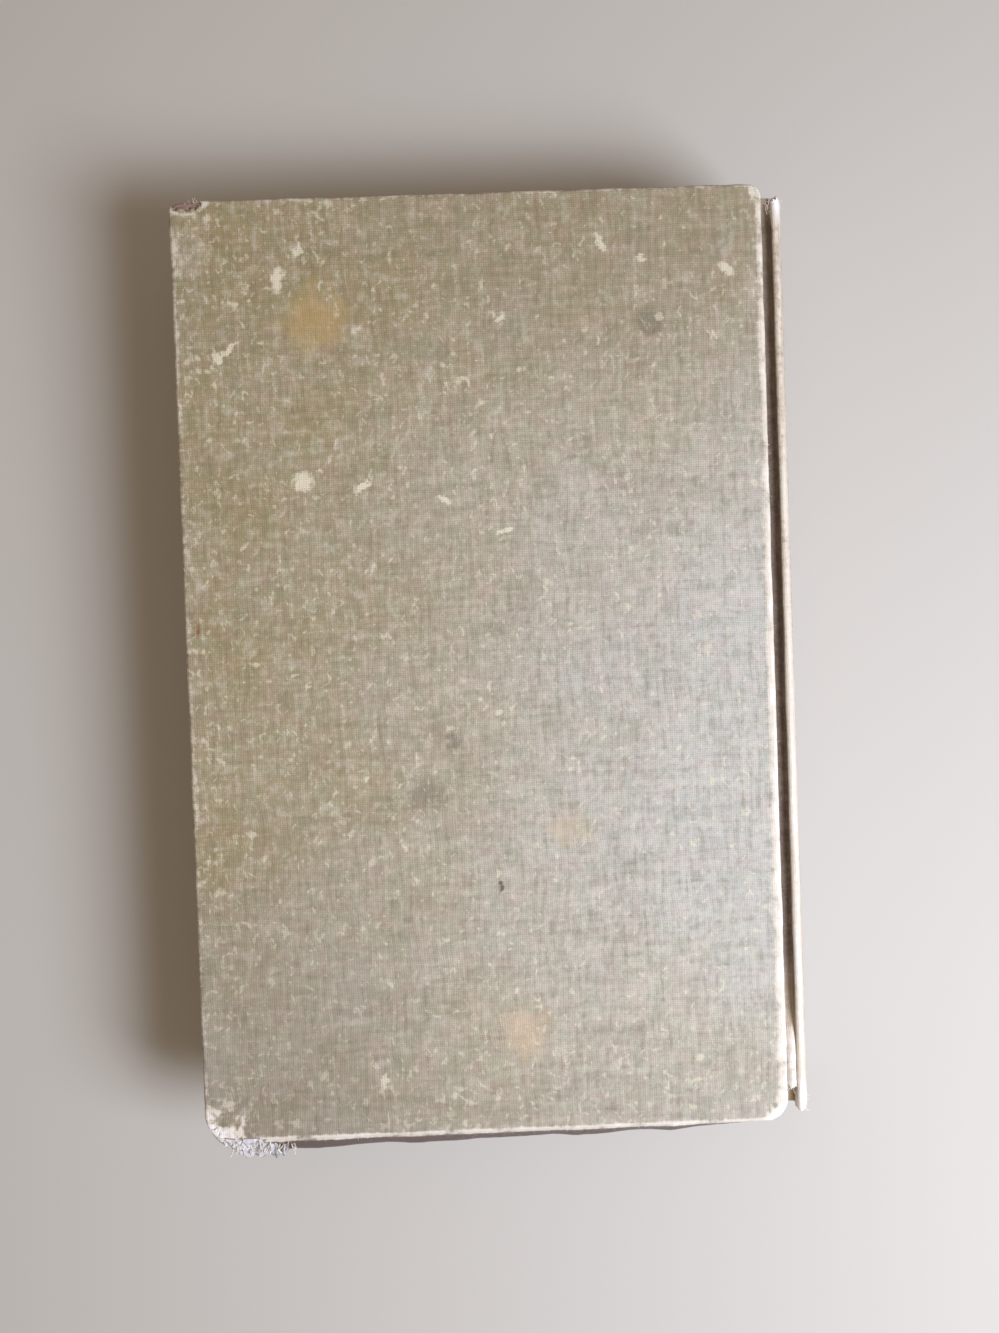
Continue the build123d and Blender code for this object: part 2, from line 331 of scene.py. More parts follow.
def grazes(tree, place, thick, relief, marked):
    """How far the filler is rubbed away: curls, specks and the larger listed spots."""
    curl = node(tree, "TexNoise", {0: place, "Scale": 430.0, "Detail": 2.0}).outputs["Color"]
    curled = node(tree, "VectorMath MULTIPLY_ADD", {0: curl, 1: (2.4 * MM,) * 3, 2: place})
    handled = node(tree, "Attribute", attribute_name="handled").outputs["Fac"]
    bare = rubbed_specks(tree, curled, handled, rubbed_curls(tree, place, curled, handled))
    broken = node(tree, "MapRange", {0: thick, 1: 0.36, 2: 0.6, 3: 0.55, 4: 1.0})
    bare = node(tree, "Math MULTIPLY", {0: bare, 1: broken})

    # The larger spots: ragged, and torn along the threads
    tear = node(
        tree, "TexNoise", {0: place, "Scale": 1300.0, "Detail": 3.0, "Roughness": 0.7}
    ).outputs["Color"]
    torn_place = node(tree, "VectorMath MULTIPLY_ADD", {0: tear, 1: (2.6 * MM,) * 3, 2: curled})
    for x, y, length, width, turn in GRAZES if marked else ():
        local = node(
            tree, "Mapping",
            {
                0: torn_place, 1: ((x + 2.5) * MM, (y + 2.5) * MM, thickness * MM),
                2: (0, 0, math.radians(turn)), 3: (length * MM, width * MM, 0.02),
            },
            vector_type="TEXTURE",
        )
        away = node(tree, "VectorMath LENGTH", {0: local})
        spot = node(tree, "MapRange SMOOTHSTEP", {0: away, 1: 0.8, 2: 0.4, 4: 1.35})
        spot = node(tree, "Math MULTIPLY", {0: spot, 1: broken})
        bare = node(tree, "Math MAXIMUM", {0: bare, 1: spot})
    tops = node(tree, "MapRange", {0: relief, 1: 0.1, 2: 0.6, 3: 0.6, 4: 1.0})
    return node(tree, "Math MULTIPLY", {0: bare, 1: tops}, use_clamp=True)


def book_cloth(name, dyed, faded, marked):
    """Worn starch-filled calico. Only the cover that lies uppermost has the spills and big grazes."""
    made, tree, shader = new_material(name)
    flat = node(tree, "TexCoord").outputs["Object"]
    drift = node(tree, "TexNoise", {0: flat, "Scale": 90.0, "Detail": 1.0}).outputs["Color"]
    place = node(tree, "VectorMath MULTIPLY_ADD", {0: drift, 1: (1.1 * MM,) * 3, 2: flat})
    colour, thick = dyed_threads(tree, place, dyed, faded)
    relief = weave(tree, place, THREAD_PITCH)
    grit = node(tree, "TexNoise", {0: flat, "Scale": 800.0, "Detail": 3.0, "Roughness": 0.7})
    for value, low, high, most, laid in (
        (relief, 0.7, 0.0, 0.16, "#55492F"), (grit, 0.52, 0.36, 0.22, "#7D7058"),
        (grit, 0.52, 0.68, 0.22, "#D6CCB6"),
    ):
        amount = node(tree, "MapRange SMOOTHSTEP", {0: value, 1: low, 2: high, 4: most})
        colour = node(tree, "Mix RGBA", {0: amount, 6: colour, 7: laid})

    # Spills, with soft wandering borders
    ripple = node(tree, "TexNoise", {0: flat, "Scale": 190.0, "Detail": 2.0}).outputs["Color"]
    soaked = node(tree, "VectorMath MULTIPLY_ADD", {0: ripple, 1: (9.0 * MM, 9.0 * MM, 0), 2: flat})
    wobble = node(tree, "TexNoise", {0: flat, "Scale": 520.0, "Detail": 4.0, "Roughness": 0.7})
    for x, y, radius, stain, strength in STAINS if marked else ():
        away = node(
            tree, "VectorMath DISTANCE", {0: soaked, 1: ((x + 4.5) * MM, (y + 4.5) * MM, thickness * MM)}
        )
        ragged = node(tree, "Math MULTIPLY_ADD", {0: wobble, 1: radius * MM * 1.6, 2: away})
        spilt = node(
            tree, "MapRange SMOOTHSTEP",
            {0: ragged, 1: radius * MM * 2.3, 2: radius * MM * 1.2, 4: strength},
        )
        colour = node(tree, "Mix RGBA", {0: spilt, 6: colour, 7: stain})

    # Bare cotton, dirt with painted shade, and rubbed edges with a painted highlight, all broken up by the
    # threads
    bare = grazes(tree, flat, thick, relief, marked)
    # The grime attribute darkens the cloth to dark brown: dirt, and painted shade in the grooves and on the
    # tail band.
    grime_and_shade = node(tree, "Attribute", attribute_name="grime_and_shade").outputs["Fac"]
    patchy = node(tree, "MapRange", {0: grit, 1: 0.25, 2: 0.6, 3: 0.6, 4: 1.0})
    dirt_and_shade = node(tree, "Math MULTIPLY", {0: grime_and_shade, 1: patchy}, use_clamp=True)
    # The wear attribute is partly rubbed cloth and partly a painted highlight on the edges that face the light,
    # so the rubbed and white layers below carry both.
    wear_and_highlight = node(tree, "Attribute", attribute_name="wear_and_highlight").outputs["Fac"]
    raised = node(tree, "Math MULTIPLY_ADD", {0: thick, 1: 0.8, 2: grit})
    worn = node(tree, "Math MULTIPLY_ADD", {0: wear_and_highlight, 1: 1.3, 2: raised})
    rubbed_and_highlit, white = [node(
        tree, "MapRange SMOOTHSTEP", {0: worn, 1: low, 2: high}
    ) for low, high in ((1.12, 1.75), (1.7, 2.5))]
    for amount, laid in ((bare, "#DBD2B8"), (dirt_and_shade, "#57463C"), (rubbed_and_highlit, "#D6CBBB"), (white, "#EFE9E6")):
        colour = node(tree, "Mix RGBA", {0: amount, 6: colour, 7: laid})

    # A starched cloth has a low, broad shine on the tops of its threads
    shine = node(tree, "MapRange", {0: thick, 1: 0.3, 2: 0.7, 3: 0.84, 4: 0.66})
    constants = {"IOR": 1.48, "Sheen Weight": 0.2, "Sheen Roughness": 0.5}
    bulk = node(tree, "Math MULTIPLY_ADD", {0: thick, 1: 2.2, 2: relief})
    scuffed = node(tree, "Math MAXIMUM", {0: bare, 1: rubbed_and_highlit})
    fluff = node(tree, "Math MULTIPLY_ADD", {0: scuffed, 1: grit, 2: bulk})
    bump = node(tree, "Bump", {"Strength": 0.6, "Distance": 0.08 * MM, "Height": fluff})
    feed(shader, {"Base Color": colour, "Roughness": shine, "Normal": bump, **constants})
    return made


# Back cover: olive tan that goes to a cool grey on the spine's side and below the middle, partly by
# sun-bleaching and partly as a painted cool sheen of the window light; dull, with cream scuffs
cover_cloth_finish = book_cloth("worn_book_cloth", "#9C8B5F", "#C0BEB8", marked=True)
# Front cover: the same cloth, less faded and without spills, since it mostly lay face down
plain_cloth_finish = book_cloth("shelf_worn_book_cloth", "#98895F", "#B3AA94", marked=False)
# Spine: the part that stood in the light, so it has gone a warm, pinkish straw colour
spine_cloth_finish = book_cloth("sun_faded_book_cloth", "#BBA58A", "#D3C2AE", marked=False)

# %% [markdown]
# ## Board, paper and linings
# Millboard is pulp pressed in layers, so its torn edge shows brown-grey fibres. Book paper has no
# shine at all, and age turns it tan from the edges inwards, where air and hands reach it.
# Gauze is an open net, and kraft is a strong brown paper with faint lines from the machine.

# %% Materials for board, paper, gauze and thread
def fibrous(name, base, deep, scale_mm, stretch=(1, 1, 1), roughness=0.9, depth=0.05):
    """A matt material of pressed or spun fibre: two colours mixed by fine noise, with relief."""
    made, tree, shader = new_material(name)
    place = node(tree, "TexCoord").outputs["Object"]
    drawn = node(tree, "VectorMath MULTIPLY", {0: place, 1: stretch})
    fine = node(
        tree, "TexNoise", {0: drawn, "Scale": 1 / (scale_mm * MM), "Detail": 5.0, "Roughness": 0.65}
    )
    broad = node(tree, "TexNoise", {0: place, "Scale": 0.06 / (scale_mm * MM), "Detail": 3.0})
    both = node(tree, "Mix", {0: 0.4, 2: fine, 3: broad})
    amount = node(tree, "MapRange", {0: both, 1: 0.36, 2: 0.64})
    grime_and_shade = node(tree, "Attribute", attribute_name="grime_and_shade").outputs["Fac"]
    colour = node(tree, "Mix RGBA", {0: amount, 6: base, 7: deep})
    # On the torn board layers, the only piece that sets this attribute, this grey is painted shade.
    colour = node(tree, "Mix RGBA", {0: grime_and_shade, 6: colour, 7: "#4A4A42"})
    bump = node(tree, "Bump", {"Strength": 0.6, "Distance": depth * MM, "Height": fine})
    feed(shader, {"Base Color": colour, "Roughness": roughness, "Normal": bump})
    return made


def aged_paper(name, fresh, toned, foxed):
    """Wove paper that has toned from its edges and foxed in spots."""
    made, tree, shader = new_material(name)
    place = node(tree, "TexCoord").outputs["Object"]
    split = node(tree, "SeparateXYZ", {0: place})
    across = node(tree, "Math ABSOLUTE", {0: split.outputs[1]})
    from_end = node(tree, "MapRange", {0: across, 1: 0.078, 2: 0.093})
    from_fore = node(tree, "MapRange", {0: split.outputs[0], 1: (fore_x + 18) * MM, 2: (fore_x + 2) * MM})
    edge = node(tree, "Math MAXIMUM", {0: from_end, 1: from_fore})
    cloud = node(tree, "TexNoise", {0: place, "Scale": 60.0, "Detail": 5.0, "Roughness": 0.6})
    tone = node(tree, "Math MULTIPLY_ADD", {0: edge, 1: 0.55, 2: cloud})
    sheet = node(tree, "Attribute", attribute_name="tone").outputs["Fac"]
    tone = node(tree, "Math MULTIPLY_ADD", {0: sheet, 1: 0.28, 2: tone})
    toned_by = node(tree, "MapRange", {0: tone, 1: 0.4, 2: 1.2})
    colour = node(tree, "Mix RGBA", {0: toned_by, 6: fresh, 7: toned})
    cells = node(tree, "TexVoronoi", {0: place, "Scale": 140.0})
    pick = node(tree, "SeparateColor", {0: cells.outputs["Color"]}).outputs[1]
    size = node(tree, "MapRange", {0: pick, 1: 0.72, 2: 1.0, 4: 0.2})
    inside = node(tree, "Math SUBTRACT", {0: size, 1: cells.outputs["Distance"]})
    spots = node(tree, "MapRange", {0: inside, 1: -0.04, 2: 0.12, 4: 0.5})
    colour = node(tree, "Mix RGBA", {0: spots, 6: colour, 7: foxed})
    felt = node(tree, "TexNoise", {0: place, "Scale": 1800.0, "Detail": 4.0})
    bump = node(tree, "Bump", {"Strength": 0.3, "Distance": 0.02 * MM, "Height": felt})
    feed(shader, {"Base Color": colour, "Roughness": 0.92, "Normal": bump})
    return made


def gauze_finish():
    """Sized open cotton net: pale threads with the tan glue between them."""
    made, tree, shader = new_material("sized_cotton_gauze")
    relief = weave(tree, node(tree, "TexCoord").outputs["Object"], 1.1)
    colour = node(tree, "Mix RGBA", {0: relief, 6: "#A58E68", 7: "#DDD2B8"})
    bump = node(tree, "Bump", {"Strength": 0.5, "Distance": 0.05 * MM, "Height": relief})
    feed(shader, {"Base Color": colour, "Roughness": 0.85, "Normal": bump})
    return made


# Pulp board seen through a worn corner: a dull reddish brown-grey with a felted grain
millboard = fibrous("grey_brown_millboard", "#A0857A", "#7D625A", 0.5, depth=0.08)
# The same board's torn inner layers: clean, almost white, with long soft fibres that catch light
torn_board = fibrous("torn_board_fibre", "#F0EFF2", "#C6C2C6", 0.6, depth=0.12)
# Undyed cotton: warm white threads, lighter than all the rest of the book
bare_cotton = fibrous("bare_cotton_thread", "#F1EAE2", "#D8CDBF", 0.3)
# Kraft paper on the back of the leaves: mid brown with streaks along the spine
kraft = fibrous("brown_kraft_paper", "#9A7B57", "#7F6243", 0.5, stretch=(1, 0.1, 1))
# Thin grey card that stiffens the spine: flat and dull
spine_card = fibrous("spine_card", "#9C9384", "#847A6A", 0.6)
# Waxed linen sewing thread: pale straw
linen_thread = fibrous("linen_thread", "#D9CFB8", "#B8AB90", 0.2)
# Old book paper: cream in the middle of the sheet, tan and foxed at its edges, with no shine
leaf_paper = aged_paper("aged_book_paper", "#D9CBA8", "#B59E76", "#8F6A42")
# Endpaper: a little heavier and paler than the leaves
endpaper = aged_paper("aged_endpaper", "#DCD0B4", "#BFA984", "#936C42")
# Gauze: a pale open net with darker glue in its holes
gauze = gauze_finish()

# %% Finish the frame's own pieces
finishes = {
    "board": millboard, "gauze_flange": gauze, "pastedown": endpaper, "flyleaf": endpaper,
    "spine_gauze": gauze, "spine_kraft": kraft, "spine_card": spine_card, "sewing_thread": linen_thread,
    "head_band": bare_cotton, "tail_band": bare_cotton,
}
for name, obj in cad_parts.items():
    for ending, finish in finishes.items():
        if name.endswith(ending):
            for slot in obj.material_slots:
                slot.material = finish

# %% [markdown]
# ## The covers
# A cover is one sheet of cloth pulled round a board and turned in by 15 mm inside. Extruding a slab
# would lose that. Instead the sheet is made as rings, each one the outline of the cover at some
# distance in from its edge: across the face, over the rounded edge, down the side and onto the
# inside. Solidify then gives the sheet its thickness, and a torn corner is a real hole in it.

# %% Rings of a cover
SIDES = ("tail", "joint", "head", "fore")
CORNERS = ("joint_tail", "joint_head", "fore_head", "fore_tail")  # the corner that ends each side
CORNER_SIGNS = ((1, -1), (1, 1), (-1, 1), (-1, -1))
CORNER_STEPS = 14
STATION_GAP = 0.85  # mm between stations, on average
EDGE_ROUND = 0.8
WORN_ARRIS = 0.63  # mm along the cloth from the rounded edge's start to the line most rubbed
TURN_IN = 15.0
BACK_CORNERS = {"fore_head": 2.2, "fore_tail": 5.5, "joint_head": 2.6, "joint_tail": 4.6}
FRONT_CORNERS = {"fore_head": 1.6, "fore_tail": 2.0, "joint_head": 1.6, "joint_tail": 1.8}


def crowded(t):
    """Moves a share t of a length towards the nearer end, so that points crowd at both ends."""
    return t - 0.75 * math.sin(2 * math.pi * t) / (2 * math.pi)


def round_the_cover():
    """Stations round a cover, anticlockwise from the tail's fore end. They crowd near corners."""
    stations = []
    lengths = (joint_x - fore_x, head_y - tail_y) * 2
    for side, length in enumerate(lengths):
        steps = round(length / STATION_GAP)
        for i in range(steps):
            stations.append((side, False, crowded(i / steps)))
        stations += [(side, True, i / CORNER_STEPS) for i in range(CORNER_STEPS)]
    return stations


def on_outline(station, corners, inset, joint_inset):
    """A station's place on the outline that lies inset from the edge, and the way out from it."""
    side, turning, t = station
    low_x, high_x = fore_x + inset, joint_x - joint_inset
    low_y, high_y = tail_y + inset, head_y - inset
    places = ((high_x, low_y), (high_x, high_y), (low_x, high_y), (low_x, low_y))
    centres, radii = [], []
    for name, (x, y), (sx, sy) in zip(CORNERS, places, CORNER_SIGNS):
        radius = max(corners[name] - inset, 0.0)
        radii.append(radius)
        centres.append((x - sx * radius, y - sy * radius))
    angle = math.radians(90 * side - 90 + (90 * t if turning else 0))
    way = (math.cos(angle), math.sin(angle))
    end = (centres[side][0] + radii[side] * way[0], centres[side][1] + radii[side] * way[1])
    if turning:
        return end, way
    last = side - 1
    start = (centres[last][0] + radii[last] * way[0], centres[last][1] + radii[last] * way[1])
    return (start[0] + (end[0] - start[0]) * t, start[1] + (end[1] - start[1]) * t), way


def cover_profile():
    """Rings as (inset, depth below the face, distance along the cloth from the worn arris)."""
    half_width = (joint_x - fore_x) / 2
    insets = (half_width, 48, 38, 30, 23, 17.5, 13, 9.5, 7, 5, 3.6, 2.7, 2.0, 1.5, 1.1)
    rings = [(inset, 0.0) for inset in insets]
    for i in range(7):
        angle = math.radians(90 * i / 6)
        rings.append((EDGE_ROUND * (1 - math.sin(angle)), EDGE_ROUND * (1 - math.cos(angle))))
    rings += [(0.0, 1.2), (0.0, 1.6), (0.0, 2.0), (0.0, 2.4), (0.05, 2.65), (0.2, 2.84), (0.45, cover_depth)]
    rings += [(inset, cover_depth) for inset in (1.0, 2.0, 3.4, 5.5, 8.5, 12.0, TURN_IN - 0.3, TURN_IN)]
    return rings


# %% [markdown]
# Wear is uneven. The joint edge and the tail are rubbed to bare cotton, and as they face the light
# they also carry a painted highlight; the fore edge is only polished, and each corner has its own
# story. These functions hold those stories, and the painted sheen and shade, so that the same
# ring maker gives a battered back cover and a calmer front one.

# %% Where the covers are worn, and where light and shade are painted
# Strength and width of the rubbed line along each side, partly a painted highlight on the lit edges
RUB_AND_HIGHLIGHT = {"tail": (0.8, 0.75), "joint": (1.05, 1.35), "head": (0.42, 0.7), "fore": (0.43, 1.2)}
TAIL_SPREAD = ((-62.6, 0.5), (-58, 2.4), (-45, 3.1), (-37, 3.0), (0, 2.5), (36, 1.9), (50, 0.9), (54.0, 0.0))


HEAD_HOLE = (-59.2, 94.7, 3.4, 2.0)  # x, y and half widths in mm of the hole at the head's fore corner


def from_head_hole(x, y):
    """How far across and up from the hole's middle, each as a share of its half width."""
    return (x - HEAD_HOLE[0]) / HEAD_HOLE[2], (y - HEAD_HOLE[1]) / HEAD_HOLE[3]


def between(table, x):
    """Reads a table of (x, value) pairs, in straight lines between them."""
    for (x0, v0), (x1, v1) in zip(table, table[1:]):
        if x <= x1:
            return v0 + (v1 - v0) * max(0.0, (x - x0) / (x1 - x0))
    return table[-1][1]


def near(x, y, centre, reach):
    """1 at a centre, falling smoothly to 0 at reach."""
    return ease(math.hypot(x - centre[0], y - centre[1]), reach, 0.0)


def rub_and_highlight_of(station):
    """Strength and width of the rubbed line at a station, blended round the corners; partly a painted
    highlight.
    """
    side, turning, t = station
    strength, width = RUB_AND_HIGHLIGHT[SIDES[side]]
    if turning:
        next_strength, next_width = RUB_AND_HIGHLIGHT[SIDES[(side + 1) % 4]]
        strength += (next_strength - strength) * t
        width += (next_width - width) * t
    return strength, width


def wear_and_light_on_cover(x, y, station, inset, depth, damage):
    """Shape and surface at one point: (outward shift, inward shift, wear with painted highlight, grime with
    painted shade, handled, fade with painted sheen).
    """
    side, turning, t = station
    seed = 3.7 if damage else 11.3
    along = (inset if depth < 0.001 else depth) - EDGE_ROUND + WORN_ARRIS
    if 0 < depth < EDGE_ROUND:
        along = 0.0
    strength, width = rub_and_highlight_of(station)
    width *= 1 + 0.25 * ease(x, 50, 55) * ease(y, 20, -80)
    uneven = 0.75 + 0.5 * wander(x, y, 0, 5.0, seed) + 0.35 * wander(x, y, 0, 1.3, seed)
    rub_and_highlight = strength / (1 + (along / width) ** 4) * uneven if depth < 2.3 else 0.0
    # The joint edge is painted whiter towards the tail: partly wear, partly a painted highlight.
    if SIDES[side] == "joint":
        rub_and_highlight *= 1.15 - 0.45 * ease(y, -60, 70)
    edge = ease(inset, 2.0, 0.0)
    out = edge * (0.10 * wander(x, y, 0, 9.0, seed) + 0.09 * wander(x, y, 0, 2.2, seed))
    if SIDES[side] == "head" and not turning:
        out += edge * 0.16 * wander(x, y, 5, 3.2, seed)
    sink = 0.07 * wander(x, y, 0, 34.0, seed) + 0.035 * wander(x, y, 0, 7.0, seed)
    sink *= ease(inset, 0.0, 4.0)
    # Darker down the cover's edges, along the head (more towards the joint), towards the tail and over the
    # tail's fore quarter.
    grime_and_shade = 0.16 * ease(depth, 0.5, 2.2) if inset < 0.5 else 0.0
    grime_and_shade += 0.16 * ease(y, 40, 86) * ease(x, -75, 30) + 0.12 * ease(y, -72, -94) + 0.05
    grime_and_shade += 0.24 * ease(y, -20, -75) * ease(x, 5, -45)
    # The board's wall inside the groove is painted dark: dirt and painted shade.
    if SIDES[side] == "joint" and not turning:
        grime_and_shade += 0.9 * ease(depth, 1.0, 1.7) * ease(y, -86, -74)
    handled = 0.78 - 0.1 * ease(x, -40, 40) + 0.4 * ease(y, -72, -92) + 0.25 * ease(x, -48, -60)
    handled += 0.2 * ease(y, 66, 90) * ease(x, 0, -50) + 0.25 * wander(x, y, 0, 16.0, seed)
    # Paler and greyer towards the spine's side, most below the middle and less at the tail: partly sun-fading,
    # partly a painted cool sheen of the window light. Also paler near the head's fore corner, over the tail's
    # fore quarter and along the edges.
    fade_and_sheen = 0.05 + 1.0 * ease(x, -66, 58) * ease(y, 112, -10) * (1 - 0.4 * ease(y, -40, -95))
    fade_and_sheen += 0.2 * near(x, y, (-61, 84), 9.0) + 0.34 * ease(y, -25, -80) * ease(x, 10, -40)
    fade_and_sheen += 0.1 * math.exp(-inset / 3.0)
    if damage:
        if y < 0 and depth > 0.5 and (SIDES[side] == "tail" or (turning and side in (0, 3))):
            spread = between(TAIL_SPREAD, x) * min(max((depth - 0.6) / 2.1, 0.0), 1.0)
            spread *= ease(inset, 5.0, 0.0)
            out += spread * (0.92 + 0.2 * wander(x, y, 0, 6.0, seed))
            # The tail band that leans out is painted dark: partly dirt, partly painted shade.
            grime_and_shade += 0.85 * ease(x, 54, 40) * ease(depth, 0.8, 1.3)
        crushed = near(x, y, (-58.5, -92.5), 9.5)
        rub_and_highlight += 1.15 * crushed * (0.35 + 0.9 * wander(x, y, 0, 2.4, seed) + 0.8 * wander(x, y, 0, 0.9, seed))
        rub_and_highlight += 0.9 * near(x, y, (-60.5, -91.5), 4.0) * ease(inset, 3.5, 0.5)
        sink += 0.5 * crushed * (0.3 + 0.7 * wander(x, y, depth, 2.6, seed)) * ease(inset, 0.0, 1.0)
        for cx, cy, reach, amount in ((54.2, -93.2, 4.2, 1.0), (49.5, -90.0, 2.6, 0.5), (55.2, 93.8, 3.0, 0.8)):
            spot = near(x, y, (cx, cy), reach) * amount
            rub_and_highlight += spot * (0.6 + 0.8 * wander(x, y, 2, 1.3, seed))
            sink += 0.2 * spot * ease(inset, 0.0, 1.0)
        rim = math.hypot(*from_head_hole(x, y))
        rub_and_highlight += 0.5 * math.exp(-(((rim - 1.2) / 0.22) ** 2)) + 0.12 * near(x, y, (-61.5, 86.0), 9.0)
    else:
        for cx, cy in ((-61, 93.5), (-61, -93.5), (55, 93.5), (55, -93.5)):
            rub_and_highlight += 0.6 * near(x, y, (cx, cy), 4.0) * (0.7 + 0.6 * wander(x, y, 0, 1.8, seed))
    return out, sink, rub_and_highlight, grime_and_shade, handled, fade_and_sheen


def torn(x, y, inset, depth):
    """True where the back cover's cloth is gone: a worn-through head corner and a burst tail one."""
    rag = 0.5 * wander(x, y, depth * 2, 1.1, 8.0) + 0.25 * wander(x, y, depth * 2, 0.45, 8.0)
    head_hole = sum(share**2 for share in from_head_hole(x, y)) < 1 + rag
    tail_hole = ((x + 55.5) / 7.5) ** 2 + ((y + 96.4 + 0.1 * depth) / 2.5) ** 2 < 1 + 0.8 * rag
    return (head_hole or tail_hole) and depth < 2.75 and inset < 3.2


# %% Make both covers
def make_cover(name, corners, damage):
    """The cloth of one cover. The back cover's face is up, and the front cover's is down."""
    stations = round_the_cover()
    points, values, holes = [], new_paint(), []
    profile = cover_profile()
    for inset, depth in profile:
        joint_inset = min(inset, cloth) if depth > cover_depth - 0.2 else inset
        for station in stations:
            (x, y), way = on_outline(station, corners, inset, joint_inset)
            out, sink, wear_and_highlight, grime_and_shade, handled, fade_and_sheen = wear_and_light_on_cover(x, y, station, inset, depth, damage)
            shown = depth + (sink if depth < 0.5 else 0.0)
            points.append((x + way[0] * out, y + way[1] * out, thickness - shown if damage else shown))
            for key, value in zip(values, (wear_and_highlight, grime_and_shade, handled, fade_and_sheen)):
                values[key].append(value)
            holes.append(damage and torn(x, y, inset, depth))
    count = len(stations)
    faces = []
    for ring in range(len(profile) - 1):
        for i in range(count):
            j = (i + 1) % count
            corner = (ring * count + i, ring * count + j, (ring + 1) * count + j, (ring + 1) * count + i)
            if all(holes[k] for k in corner):
                continue
            faces.append(corner[::-1] if damage else corner)
    obj = new_piece(name, points, faces, cover_cloth_finish if damage else plain_cloth_finish, values)
    clean(obj)
    return thicken(obj, cloth - 0.02)


back_cover_cloth = make_cover("back_cover_cloth", BACK_CORNERS, damage=True)
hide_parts("back_cloth")
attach(back_cover_cloth, "back_cover")
front_cover_cloth = make_cover("front_cover_cloth", FRONT_CORNERS, damage=False)
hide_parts("front_cloth")
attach(front_cover_cloth, "front_cover")

# %% [markdown]
# ## The spine
# The cloth leaves the floor of one groove, climbs a little shoulder, rounds the spine and comes down
# to the other groove. Its section is the same all the way along, so it is one profile repeated at
# stations from tail to head. At both ends it folds in over a strip of card. The ends are where a
# finger hooks the book off a shelf, so they are worn short and ragged.

# %% Spine section and cloth
SHOULDER = 0.75
SPINE_STEPS = 150
END_TURNS = ((0.35, -0.28), (0.75, 0.0), (0.95, 1.0), (1.0, 5.0), (1.0, 12.0))  # mm in, mm back
shoulder_drop = spine_low[2]
shoulder_rise = middle_z - shoulder_drop - SHOULDER
past_shoulder = spine_x - wall_x - SHOULDER
spine_radius = (past_shoulder**2 + shoulder_rise**2 - SHOULDER**2) / (2 * (past_shoulder - SHOULDER))
spine_centre = spine_x - spine_radius
shoulder_angle = math.asin(shoulder_rise / (spine_radius - SHOULDER))


def spine_section():
    """Points of half the section, from the crown up over the shoulder and down the groove's wall."""
    half = []
    for i in range(16):
        angle = shoulder_angle * i / 15
        half.append((spine_centre + spine_radius * math.cos(angle), spine_radius * math.sin(angle), angle))
    for i in range(1, 9):
        angle = shoulder_angle + (math.pi - shoulder_angle) * i / 8
        x = wall_x + SHOULDER + SHOULDER * math.cos(angle)
        half.append((x, shoulder_rise + SHOULDER * math.sin(angle), angle))
    floor_rise = middle_z - cover_depth + 0.1
    top = shoulder_rise
    for i in range(1, 5):
        half.append((wall_x, top + (floor_rise - top) * i / 4, math.pi))
    return half


def along_spine(low, high):
    """Stations from tail to head, crowded at both ends."""
    return [low + (high - low) * crowded(i / SPINE_STEPS) for i in range(SPINE_STEPS + 1)]


